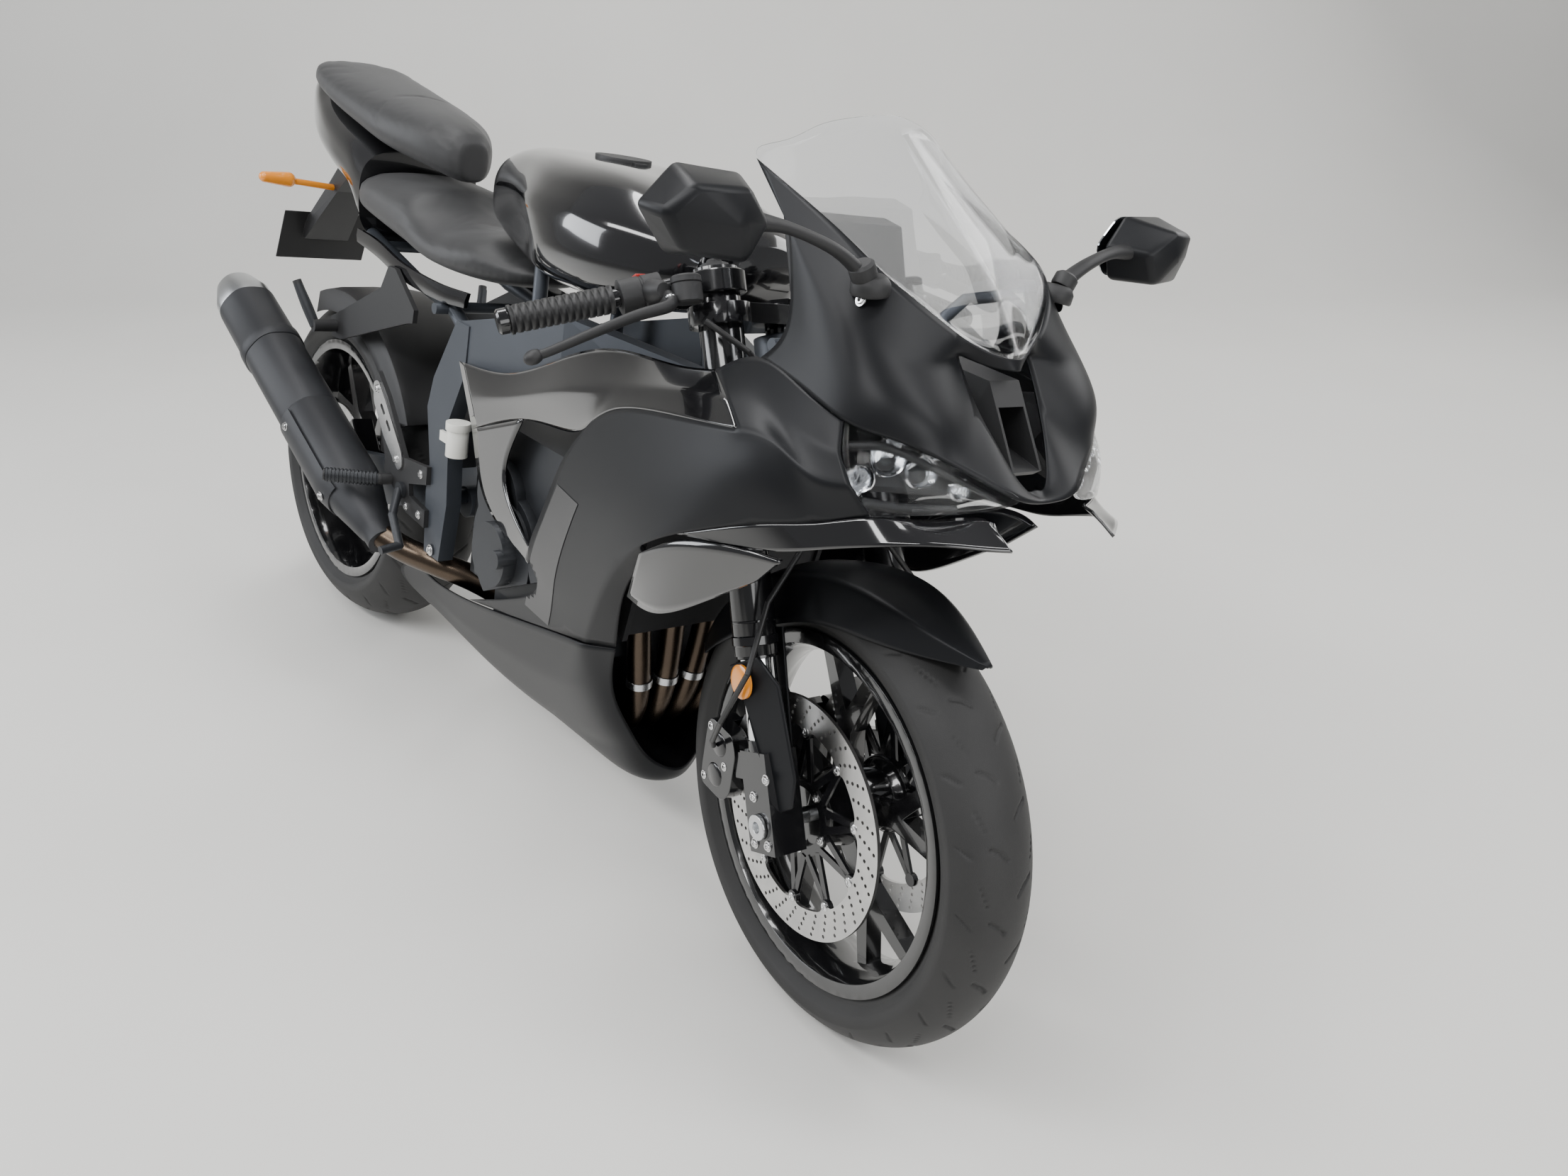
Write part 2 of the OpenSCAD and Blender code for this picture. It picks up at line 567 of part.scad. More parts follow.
rider_stations = [[108, 116, 880, 792], [150, 120, 882, 786], [215, 122, 880, 776], [285, 123, 874, 766],
    [330, 123, 846, 762], [380, 122, 829, 758], [440, 117, 830, 756], [500, 104, 832, 758], [550, 80, 818, 764],
    [585, 56, 811, 772], [604, 36, 804, 782]];
module rider_seat() {
    color("#1b1c1d") park() loft(rider_stations, 3);
}
pillion_stations = [[-204, 60, 1036, 1004], [-150, 96, 1040, 978], [-60, 106, 1026, 952], [40, 104, 1012, 928],
    [130, 98, 1000, 908], [220, 76, 988, 896], [280, 48, 975, 886], [304, 28, 958, 888]];
module pillion_seat() {
    color("#1b1c1d") park() difference() {
        loft(pillion_stations, 3);
        tail_form(0);
    }
}
tail_stations = [[-344, 12, 920, 908], [-290, 34, 978, 902], [-232, 62, 1012, 890], [-150, 86, 984, 870],
    [-60, 100, 958, 846], [40, 108, 934, 816], [107.7, 112, 912, 750]];
module tail_form(grow) {
    loft([for (s = tail_stations) [s[0], s[1] + grow, s[2] + 0.5, s[3]]], 3);
}
module tail_cowl() {
    color("#0b0b0d") park() {
        loft(tail_stations, 3);
        both() skin(strip([[108, 112, 775], [200, 116, 770], [300, 116, 752], [420, 112, 745], [500, 98, 745]],
            [[108, 112, 752], [200, 114, 742], [300, 114, 724], [420, 110, 718], [490, 98, 720]]), [0, -6, 0]);
    }
}
module tail_light() {
    color("#8c1414") park() loft([[-352, 10, 917, 906], [-344.3, 12, 919, 906]], 3);
}
holder_top = at(-150, 0, 872);
module plate_holder() {
    color("#141415") park() {
        hull() {
            translate(at(-120, 0, 862)) cube([60, 70, 6], center = true);
            translate(at(-210, 0, 800)) cube([50, 60, 5], center = true);
        }
        hull() {
            translate(at(-210, 0, 800)) cube([50, 60, 5], center = true);
            translate(at(-310, 0, 700)) cube([8, 90, 30], center = true);
        }
        translate(at(-318, 0, 690)) rotate([0, 25, 0]) cube([3, 180, 110], center = true);
    }
}
module rear_indicators() {
    color("#c8742a") park() both() {
        bar([at(-205, 29, 802), at(-205, 110, 808)], 6);
        hull() {
            translate(at(-205, 118, 810)) sphere(14, $fn = 24);
            translate(at(-200, 165, 812)) sphere(10, $fn = 24);
        }
    }
}
module rear_hugger() {
    color("#141415") park() {
        translate(rear_axle_at) rotate([90, 0, 0]) rotate([0, 0, 28]) rotate_extrude(angle = 84, $fn = 96)
            polygon([for (p = [[rear_r + 10, -84], [rear_r + 14, -60], [rear_r + 16, 0], [rear_r + 14, 60],
                [rear_r + 10, 84], [rear_r - 30, 95], [rear_r - 30, 92.5], [rear_r + 7, 80], [rear_r + 11, 58],
                [rear_r + 13, 0], [rear_r + 11, -58], [rear_r + 7, -80], [rear_r - 30, -92.5], [rear_r - 30, -95]]) p]);
        translate([252, -arm_right[1] + 2, arm_point([272, 40]).y + 4]) cube([36, 18, 52]);
        translate([252, arm_left[0] + 1, arm_point([272, 40]).y + 4]) cube([36, 18, 52]);
        translate([252, -arm_right[1] + 2, 454]) cube([30, arm_right[1] - 95.5, 14]);
        translate([252, 93.5, 454]) cube([30, arm_left[0] - 84, 14]);
    }
}
module rear_shock() {
    color("#2f6d3a") park() {
        tube(at(500, 0, 640), at(490, 0, 560), 12);
        tube(at(494, 0, 590), at(478, 0, 440), 30);
        tube(at(480, 0, 450), at(476, 0, 426), 12);
        tube(at(500, -76, 640), at(500, 76, 640), 8);
    }
}

// ---- front body ----

module fairing_stay() {
    color("#26282b") park() {
        bar([at(1322, -173, 866), at(1322, -60, 866), at(1322, 60, 866), at(1322, 173, 866)], 7);
        for (s = [1, -1]) bar([on_axis(head_high - 60) + [head_r - 1, 0, 0], at(1260, s * 30, 830), at(1322, s * 40, 866),
            at(1345, s * 90, 925), at(1392, s * 140, 945)], 7);
        for (s = [1, -1]) tube(at(1322, s * 40, 866), at(1262, s * 40, 900), 6);
    }
}
module instrument_panel() {
    color("#121213") park() difference() {
        plate([[1228, 905], [1196, 985], [1206, 993], [1236, 988], [1268, 905], [1255, 898]], -78, 78);
        plate([[1220, 916], [1192, 986], [1180, 980], [1205, 910]], -68, 68);
    }
}
module upper_cowl() {
    color("#1d1e20") park() translate(nose_shift) both() {
        skin(concat(
            strip([for (i = [0 : 4]) screen_edge[i]], shoulder),
            [[screen_edge[4], mouth[0], shoulder[4]], [screen_edge[4], screen_edge[5], mouth_top[0], mouth[0]],
             [screen_edge[5], screen_edge[6], mouth_top[1], mouth_top[0]]],
            strip(shoulder, cheek),
            [[shoulder[4], mouth[0], mouth[1], cheek[4]], [cheek[0], cheek[1], hem[2], hem[1]],
             [cheek[1], cheek[2], hem[3], hem[2]], [cheek[2], cheek[3], lamp_top[0], hem[3]],
             [cheek[3], cheek[4], lamp_top[1], lamp_top[0]], [cheek[4], mouth[1], lamp_top[2], lamp_top[1]],
             [mouth[1], mouth[2], lamp_top[3], lamp_top[2]], [mouth[2], mouth[3], nose, lamp_top[3]],
             [mouth[3], mouth_lip, nose]]), nose_push);
    }
}
module windscreen() {
    color([0.8, 0.85, 0.9, 0.4]) park() translate(nose_shift) both() skin(concat(
        [[screen_edge[0], screen_edge[1], screen_mid[0]], [screen_edge[0], screen_mid[0], screen_mid[1], screen_top[1]],
         [screen_edge[1], screen_edge[2], screen_mid[1], screen_mid[0]]],
        [for (i = [2 : 5]) [screen_edge[i], screen_edge[i + 1], screen_mid[i], screen_mid[i - 1]]],
        [for (i = [1 : 4]) [screen_mid[i], screen_mid[i + 1], screen_top[i + 1], screen_top[i]]]), nose_push);
}
module intake_duct() {
    color("#101011") park() difference() {
        plate([[1340, 880], [1500, 872], [1556, 790], [1546, 782], [1480, 800], [1340, 810]], -24, 24);
        plate([[1350, 872], [1498, 866], [1570, 795], [1570, 786], [1480, 808], [1350, 818]], -20, 20);
    }
}
module headlamps() {
    color([0.85, 0.9, 0.95, 0.4]) park() translate(nose_shift) both() skin([
        [hem[3], lamp_top[0], lamp_mid[0], lamp_rear[0]], [lamp_rear[0], lamp_mid[0], lamp_low[0], lamp_rear[1]],
        [lamp_rear[1], lamp_low[0], lamp_rear[2]], [lamp_top[0], lamp_top[1], lamp_mid[1], lamp_mid[0]],
        [lamp_mid[0], lamp_mid[1], lamp_low[1], lamp_low[0]], [lamp_top[1], lamp_top[2], lamp_top[3], lamp_mid[1]],
        [lamp_mid[1], lamp_top[3], lamp_low[1]]], nose_push);
}
module headlamp_housings() {
    color("#1c1c1d") park() both() {
        hull() {
            for (p = [[1440, 160, 835], [1440, 170, 775], [1490, 160, 762], [1530, 90, 765], [1500, 70, 800],
                [1420, 80, 790], [1420, 80, 835], [1480, 130, 826]]) translate(at(p.x, p.y, p.z)) cube(6, center = true);
        }
        tube(at(1424, 100, 820), at(1322, 100, 858), 6);
    }
}
module winglets() {
    color("#0b0b0d") park() both() skin(concat(
        [for (i = [0 : 5]) [wing_top[i], wing_top[i + 1], wing_low[i + 1], wing_low[i]]]), side_push);
}
module side_fairings() {
    color("#202124") park() both() skin(concat(
        strip(side_a, side_b), strip(side_b, side_c),
        strip([for (i = [0 : 3]) side_c[i]], side_d), strip(side_d, side_e),
        [[hem[0], hem[1], cheek_in[0], brow], [hem[1], hem[2], cheek_in[4], cheek_in[0]],
         [hem[2], hem[3], lamp_rear[0], cheek_in[4]], [brow, cheek_in[0], cheek_in[1], side_e[0]],
         [cheek_in[0], cheek_in[4], cheek_in[3], cheek_in[1]], [cheek_in[4], lamp_rear[0], lamp_rear[1], cheek_in[3]],
         [side_e[0], cheek_in[1], cheek_in[2], side_e[1]], [cheek_in[3], lamp_rear[1], lamp_rear[2], chin[1]],
         [cheek_in[1], cheek_in[3], chin[1], cheek_in[2]], [cheek_in[2], chin[1], chin[0]],
         [side_e[1], cheek_in[2], chin[0], side_e[2]], [side_e[2], chin[0], side_e[3]],
         [side_d[3], turn_in[0], turn_in[1], side_c[3]], [side_c[3], turn_in[1], turn_in[2], side_c[4]],
         [side_c[4], turn_in[2], turn_in[3], side_c[5]], [side_a[5], side_b[5], side_low[1], side_low[0]]]), side_push);
}
module side_covers() {
    color("#0b0b0d") park() both() skin(concat(strip(cover_top, cover_mid),
        [[cover_mid[0], cover_mid[1], cover_low[1], cover_low[0]], [cover_mid[1], cover_mid[2], cover_low[2], cover_low[1]],
         [cover_mid[2], cover_mid[3], side_a[0], cover_low[2]], [cover_mid[3], side_b[0], side_a[0]],
         [cover_mid[3], cover_mid[4], side_c[0], side_b[0]], [cover_mid[4], brow, side_d[0], side_c[0]],
         [brow, side_e[0], side_d[0]]]), side_push);
}
module air_blades() {
    color("#0b0b0d") park() both() skin(strip(blade_out, blade_in), side_push);
}
module belly_pan() {
    color("#141416") park() translate([0, 0, -belly_reveal]) both() {
        skin(concat(strip(belly_top, belly_mid), strip(belly_mid, belly_low),
            [[belly_low[3], belly_low[4], belly_front[0]], [belly_low[4], belly_low[5], belly_front[1], belly_front[0]],
             [belly_front[0], belly_front[1], belly_front[3], belly_front[2]],
             [belly_low[3], belly_front[0], belly_front[2], belly_nose[0]]],
            [for (i = [0 : 2]) [belly_low[i], belly_low[i + 1], belly_floor[i + 1], belly_floor[i]]],
            [[belly_low[3], belly_nose[0], belly_floor[4], belly_floor[3]],
             [belly_nose[0], belly_front[2], belly_nose[1], belly_floor[4]],
             [belly_front[2], belly_front[3], belly_nose[2], belly_nose[1]],
             [belly_tail[1], belly_top[0], belly_mid[0], belly_tail[0]],
             [belly_tail[0], belly_mid[0], belly_low[0]]]), belly_push);
    }
}
module indicator_pods() {
    color("#141415") park() both() translate([6, -7, -4]) skin(strip(pod_up, pod_low), [0, -8, 0]);
}
module front_indicators() {
    color([0.9, 0.9, 0.88, 0.6]) park() both() translate([6, -2.6, -4]) skin([lens], [0, -4, 0]);
}
module mirrors() {
    color("#1d1e20") park() both() {
        bar([at(1425, 150, 952), at(1422, 185, 975), at(1410, 272, 1000)], 8);
        tube(at(1425, 146, 944), at(1425, 152, 958), 20);
        hull() {
            translate(at(1410, 285, 1000)) rotate([0, 0, 0]) scale(1) sphere(26, $fn = 32);
            translate(at(1412, 345, 1004)) sphere(36, $fn = 32);
            translate(at(1404, 385, 1000)) sphere(22, $fn = 32);
            translate(at(1384, 340, 1002)) rotate([0, 90, 0]) cylinder(r = 42, h = 4, $fn = 32);
        }
    }
}

// ---- foot controls ----

hanger = [[290, 545], [308, 572], [350, 540], [425, 456], [508, 466], [508, 436], [446, 418], [450, 398], [508, 392],
    [508, 362], [440, 366], [400, 388], [348, 410], [352, 432], [330, 480]];
hanger_y = plate_in + plate_t;
module footrests() {
    color("#2a2b2d") park() both() {
        plate(hanger, hanger_y, hanger_y + 8);
        bar([at(378, hanger_y + 1, 404), at(374, 170, 404), at(332, 250, 404)], 10);
    }
}
module brake_pedal() {
    color("#2a2b2d") park() mirror([0, 1, 0]) {
        tube(at(425, hanger_y + 8, 400), at(425, hanger_y + 16, 400), 14);
        bar([at(425, hanger_y + 15.5, 400), at(462, 185, 372), at(504, 190, 334), at(508, 224, 330)], 7);
    }
}
module gear_lever() {
    color("#2a2b2d") park() {
        tube(at(425, hanger_y + 8, 400), at(425, hanger_y + 16, 400), 14);
        bar([at(425, hanger_y + 15.5, 400), at(480, 178, 386), at(540, 186, 372), at(542, 222, 372)], 7);
        bar([at(470, 170, 390), at(520, 165, 400), at(610, 154.6, 430)], 4);
    }
}
module pillion_footrests() {
    color("#2a2b2d") park() both() {
        plate([[272, 742], [298, 742], [375, 690], [372, 668], [348, 662], [84, 572], [46, 570], [38, 604], [70, 618],
            [245, 700]], 118, 126);
        tube(at(62, 125, 592), at(62, 168, 592), 11);
        tube(at(60, 160, 586), at(22, 184, 664), 8);
    }
}
module fluid_reservoir() {
    color("#e8e8e2") park() mirror([0, 1, 0]) {
        tube(at(600, 150.3, 514), at(600, 150.3, 556), 17);
        tube(at(600, 150.3, 556.3), at(600, 150.3, 568), 19);
        block([538, hanger_y, 522], [590, hanger_y + 5, 538]);
    }
}
module rear_caliper() {
    color("#1d1d1e") park() translate(rear_axle_at) rotate([0, -38, 0]) difference() {
        translate([rear_disc_r - 23, -arm_right[0], -34]) cube([42, 40, 68]);
        translate([0, -rear_disc_y - disc_t / 2 - 5, -60]) cube([rear_disc_r + 5, disc_t + 10, 120]);
    }
}

// ---- side stand ----

stand_pivot = at(522, 150, 276);
stand_tilt = 18.4;
stand_axis = [0, cos(stand_tilt), sin(stand_tilt)];
stand_dir = [0.19, 0.42, -0.888];
stand_pin_r = 7;
foot_t = 8;
stand_drop = (floor_height(stand_pivot) - foot_t) / (floor_height(stand_pivot) - floor_height(stand_pivot + stand_dir));
stand_foot = stand_pivot + stand_dir * stand_drop;
module stand_place() {
    translate(stand_pivot) rotate([-90 + stand_tilt, 0, 0]) children();
}
module stand_bracket() {
    block([498, plate_in, 258], [548, plate_in + 12, 319]);
    stand_place() {
        translate([0, 0, -26]) cylinder(r = 19, h = 18);
        translate([0, 0, -9]) cylinder(r = stand_pin_r, h = 21);
        translate([0, 0, 8.4]) cylinder(r = 12, h = 5);
    }
}
module side_stand() {
    color("#1d1d1e") park() {
        difference() {
            union() {
                stand_place() translate([0, 0, -7.6]) cylinder(r = 19, h = 15.6);
                tube(stand_pivot + stand_dir * 12, stand_foot, 10, 9);
            }
            stand_place() translate([0, 0, -30]) cylinder(r = stand_pin_r + run_gap, h = 60);
            stand_place() translate([0, 0, 8]) cylinder(r = 40, h = 30);
            stand_place() translate([0, 0, -37.6]) cylinder(r = 40, h = 30);
        }
        translate(stand_foot) rotate([lean, 0, 0]) rotate([0, -pitch, 0]) translate([0, 0, -foot_t])
            linear_extrude(foot_t + 4) polygon([[-30, -20], [24, -20], [34, -8], [34, 12], [20, 24], [-30, 24]]);
    }
}

// ---- steered parts, in the steering frame ----

yoke_low = 330;
yoke_high = 600;
module yoke(z, t) {
    translate([0, 0, z]) {
        linear_extrude(t) polygon([[-26, -40], [fork_x + 4, -fork_y - 22], [fork_x + 30, -fork_y + 10], [34, 0],
            [fork_x + 30, fork_y - 10], [fork_x + 4, fork_y + 22], [-26, 40]]);
        both() translate([fork_x, fork_y, 0]) cylinder(r = fork_r + 11, h = t);
    }
}
module yokes() {
    color("#1a1b1d") steered() difference() {
        union() {
            yoke(yoke_low, 36);
            yoke(yoke_high, 24);
            translate([0, 0, yoke_low]) cylinder(r = stem_r, h = yoke_high - yoke_low + 30);
            translate([0, 0, yoke_high + 23]) cylinder(r = 22, h = 12, $fn = 6);
        }
        both() translate([fork_x, fork_y, 0]) cylinder(r = fork_r + run_gap, h = 900);
        translate([0, 0, yoke_low - 5]) cylinder(r = stem_bore, h = 400);
    }
}
slider_low = 105;
slider_high = 207;
fork_top = 668;
casting_in = 82;
module fork_legs() {
    color("#101112") steered() both() difference() {
        translate([fork_x, fork_y, 0]) {
            translate([0, 0, slider_high]) cylinder(r = fork_r, h = fork_top - slider_high);
            translate([0, 0, 60]) cylinder(r = slider_r, h = slider_high - 40);
            translate([-fork_r, casting_in - fork_y, -34]) cube([2 * fork_r, 46, 34 + slider_low - 14]);
            translate([0, 0, slider_low - 15]) cylinder(r = 23, h = 15);
            translate([-fork_r - 66, casting_in - fork_y, 44]) cube([68, 16, 34]);
        }
        translate([fork_x, 0, 0]) rotate([90, 0, 0]) cylinder(r = front_axle_r + run_gap, h = 400, center = true);
    }
}
module front_axle() {
    color("#a5a7a9") steered() translate([fork_x, 0, 0]) rotate([90, 0, 0]) difference() {
        union() {
            cylinder(r = front_axle_r, h = 2 * (fork_y + 25), center = true);
            both_ends(fork_y + 23.3) cylinder(r = front_axle_r + 6, h = 6);
        }
        cylinder(r = front_axle_bore, h = 400, center = true);
    }
}
module both_ends(z) {
    translate([0, 0, z]) children();
    mirror([0, 0, 1]) translate([0, 0, z]) children();
}
bar_in = [fork_x - 4, fork_y + fork_r + 2, 652];
bar_out = [-48, 355, 620];
clip_z = 636;
module handlebars() {
    color("#131314") steered() both() difference() {
        union() {
            translate([fork_x, fork_y, clip_z]) cylinder(r = fork_r + 9, h = 28);
            tube(bar_in, bar_out, 11);
            tube(along(bar_in, bar_out, 0.42), along(bar_in, bar_out, 0.94), 17);
            tube(along(bar_in, bar_out, 0.945), bar_out, 15);
        }
        translate([fork_x, fork_y, 0]) cylinder(r = fork_r + run_gap, h = 900);
    }
}
module controls() {
    color("#18191a") steered() both() {
        difference() {
            tube(along(bar_in, bar_out, 0.17), along(bar_in, bar_out, 0.4), 21);
            tube(bar_in, bar_out, 11 + run_gap);
        }
        bar([along(bar_in, bar_out, 0.25) + [20, 0, -4], [64, 196, 618], [40, 262, 598], [6, 340, 572]], 6);
        translate([6, 340, 572]) sphere(9);
        tube([58, 165, 622], [58, 165, 652], 18);
        tube(along(bar_in, bar_out, 0.25) + [19, 0, 0], [58, 168, 636], 9);
    }
}

// mudguard lines: angle about the axle, radius, and half width, at the crown, the shoulder and the edge
guard = [[56, 346, 346, 4, 340, 8], [68, 334, 324, 34, 290, 46], [82, 326, 318, 48, 268, 67],
    [100, 320, 308, 52, 252, 70], [118, 318, 304, 54, 238, 76], [136, 316, 302, 54, 244, 72],
    [150, 314, 302, 54, 262, 69], [160, 312, 304, 48, 284, 58]];
function spun(a, r, y) = [r * cos(a), y, r * sin(a)];
guard_crown = [for (g = guard) spun(g[0], g[1], 0)];
guard_side = [for (g = guard) spun(g[0], g[2], g[3])];
guard_edge = [for (g = guard) spun(g[0], g[4], g[5])];
guard_t = 3;
// each sheet is a closed skin whose inner side is the same line drawn nearer the axle
module shell(lines, t) {
    n = len(lines[0]);
    m = len(lines);
    out = [for (l = lines) each l];
    inn = [for (p = out) let (d = norm([p.x, p.z])) [p.x * (1 - t / d), p.y * (1 - t / 60), p.z * (1 - t / d)]];
    w = n * m;
    polyhedron(concat(out, inn), concat(
        [for (j = [0 : m - 2]) for (i = [0 : n - 2]) let (a = j * n + i, b = a + n) each [[a, a + 1, b + 1], [a, b + 1, b]]],
        [for (j = [0 : m - 2]) for (i = [0 : n - 2]) let (a = w + j * n + i, b = a + n)
            each [[a + 1, a, b + 1], [b + 1, a, b]]],
        [for (i = [0 : n - 2]) each [[i + 1, i, w + i], [i + 1, w + i, w + i + 1]]],
        [for (i = [0 : n - 2]) let (a = (m - 1) * n + i) each [[a, a + 1, w + a + 1], [a, w + a + 1, w + a]]],
        [for (j = [0 : m - 2]) let (a = j * n, b = a + n) each [[a, b, w + b], [a, w + b, w + a]]],
        [for (j = [0 : m - 2]) let (a = j * n + n - 1, b = a + n) each [[b, a, w + a], [b, w + a, w + b]]]));
}
function mirrored(l) = [for (p = l) [p.x, -p.y, p.z]];
module front_mudguard() {
    color("#1b1c1e") steered() translate([fork_x, 0, 0]) rotate([0, rake, 0]) {
        shell([mirrored(guard_edge), mirrored(guard_side), guard_crown, guard_side, guard_edge], guard_t);
    }
    color("#1b1c1e") steered() both() hull() {
        translate([fork_x - 16, casting_in - 4, 40]) cube([30, 4, 30]);
        translate([fork_x - 24, casting_in - 9.5, 236]) cube([44, 4, 10]);
    }
}
module front_calipers() {
    color("#141415") steered() both() translate([fork_x, 0, 0]) rotate([0, 26, 0]) difference() {
        translate([-178, 43, -52]) cube([72, 60, 104]);
        translate([-front_disc_r - 6, front_disc_y - 15, -90]) cube([80, 22.5, 180]);
    }
}
hose_r = 3.5;
module brake_hoses() {
    color("#1a1a1b") steered() {
        bar([[66, -150, 600], [88, -110, 560], [92, -40, 480], [78, 0, 400], [78, 0, 372]], hose_r);
        translate([66.3, -9, 340]) cube([16, 18, 32]);
        both() bar([[80, 8, 352], [84, 60, 330], [74, 112, 270], [66, 146, 190], [0, 150, 130], [-70, 124, 96],
            [-100, 106, 84]], hose_r);
    }
}

module fairing_brackets() {
    for (p = [[962, 202, 588], [933, 200, 522]]) tube(at(p.x, engine_face, p.z), at(p.x, p.y - skin_t - 0.9, p.z), 6);
}

frame();
head_tube();
swingarm();
rear_axle();
engine();
engine_covers();
radiator();
exhaust_headers();
silencer();
subframe();
fuel_tank();
rider_seat();
pillion_seat();
tail_cowl();
tail_light();
plate_holder();
rear_indicators();
rear_hugger();
fairing_stay();
instrument_panel();
upper_cowl();
windscreen();
intake_duct();
headlamps();
headlamp_housings();
winglets();
side_fairings();
side_covers();
air_blades();
belly_pan();
indicator_pods();
front_indicators();
mirrors();
footrests();
brake_pedal();
gear_lever();
pillion_footrests();
chain();
rear_caliper();
fluid_reservoir();
rear_shock();
yokes();
fork_legs();
front_axle();
handlebars();
controls();
front_mudguard();
front_calipers();
brake_hoses();
front_tyre();
front_rim();
front_discs();
rear_tyre();
rear_rim();
rear_disc();
rear_sprocket();
side_stand();
fuel_cap();
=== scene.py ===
"""Looks of the supersport motorcycle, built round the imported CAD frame.

Points are in millimetres in the machine's own upright frame (x ahead of the rear axle, y to the left, z up),
or in the frame of the steered parts, and put() takes them to the shared frame in metres.
"""
import json
import math

import bmesh
import bpy
import numpy as np
from mathutils import Matrix, Vector
from mathutils.bvhtree import BVHTree

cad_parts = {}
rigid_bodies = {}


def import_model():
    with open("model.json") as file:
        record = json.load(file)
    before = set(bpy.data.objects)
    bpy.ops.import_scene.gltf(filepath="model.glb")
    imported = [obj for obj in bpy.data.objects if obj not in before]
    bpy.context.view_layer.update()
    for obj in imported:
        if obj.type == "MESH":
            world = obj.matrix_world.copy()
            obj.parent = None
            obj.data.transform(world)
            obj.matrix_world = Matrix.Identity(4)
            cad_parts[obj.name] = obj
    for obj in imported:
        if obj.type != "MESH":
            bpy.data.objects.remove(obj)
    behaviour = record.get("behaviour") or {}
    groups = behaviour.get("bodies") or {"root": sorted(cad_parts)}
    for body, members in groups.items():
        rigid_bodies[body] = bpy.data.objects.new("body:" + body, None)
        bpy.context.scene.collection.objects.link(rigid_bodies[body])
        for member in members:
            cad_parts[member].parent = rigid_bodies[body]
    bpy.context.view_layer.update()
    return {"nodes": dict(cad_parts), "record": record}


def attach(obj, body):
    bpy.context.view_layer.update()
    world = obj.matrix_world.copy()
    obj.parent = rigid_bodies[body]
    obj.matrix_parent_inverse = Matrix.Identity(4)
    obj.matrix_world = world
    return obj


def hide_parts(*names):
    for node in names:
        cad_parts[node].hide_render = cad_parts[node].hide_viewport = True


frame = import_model()

# ---- the camera ----
CAMERA_AT = (1.6823, -1.0216, 1.3188)
LOOK_AZIMUTH, LOOK_ELEVATION, ROLL = 140.90, -28.82, 0.24
LENS, SENSOR = 29.61, 36.0

camera = bpy.data.objects.new("camera", bpy.data.cameras.new("camera"))
bpy.context.scene.collection.objects.link(camera)
bpy.context.scene.camera = camera
camera.data.lens, camera.data.sensor_width = LENS, SENSOR
camera.data.clip_start, camera.data.clip_end = 0.02, 60
look = Vector((math.cos(math.radians(LOOK_ELEVATION)) * math.cos(math.radians(LOOK_AZIMUTH)),
               math.cos(math.radians(LOOK_ELEVATION)) * math.sin(math.radians(LOOK_AZIMUTH)),
               math.sin(math.radians(LOOK_ELEVATION))))
camera.matrix_world = (Matrix.Translation(CAMERA_AT) @ look.to_track_quat("-Z", "Y").to_matrix().to_4x4()
                       @ Matrix.Rotation(math.radians(-ROLL), 4, "Z"))

# ---- frames ----
MM = Matrix.Scale(0.001, 4)
LEAN, PITCH, LIFT, MIDDLE = 12.0, -0.024767, 2.18305, (673.0, 208.0)
RAKE, TRAIL, STEER, WHEELBASE = math.radians(23.5), 101.0, math.radians(-6), 1400.0
FRONT_R, REAR_R = 300.0, 315.0


def turn(degrees, axis):
    return Matrix.Rotation(math.radians(degrees), 4, axis)


BIKE = (MM @ Matrix.Translation((-MIDDLE[0], -MIDDLE[1], LIFT)) @ turn(PITCH, "Y") @ turn(-LEAN, "X"))
UP_AXIS = Vector((-math.sin(RAKE), 0, math.cos(RAKE)))
FOOT = Vector((WHEELBASE + TRAIL, 0, 0)) + (FRONT_R * math.cos(RAKE) + TRAIL * math.sin(RAKE)) * UP_AXIS
FORK_X, FORK_Y, FORK_R = FRONT_R * math.sin(RAKE) - TRAIL * math.cos(RAKE), 105.0, 27.0
FORK = BIKE @ Matrix.Translation(FOOT) @ Matrix.Rotation(-RAKE, 4, "Y") @ Matrix.Rotation(STEER, 4, "Z")
FRONT_WHEEL = FORK @ Matrix.Translation((FORK_X, 0, 0))
REAR_WHEEL = BIKE @ Matrix.Translation((0, 0, REAR_R))
GUARD = FRONT_WHEEL @ Matrix.Rotation(RAKE, 4, "Y")

# ---- materials ----


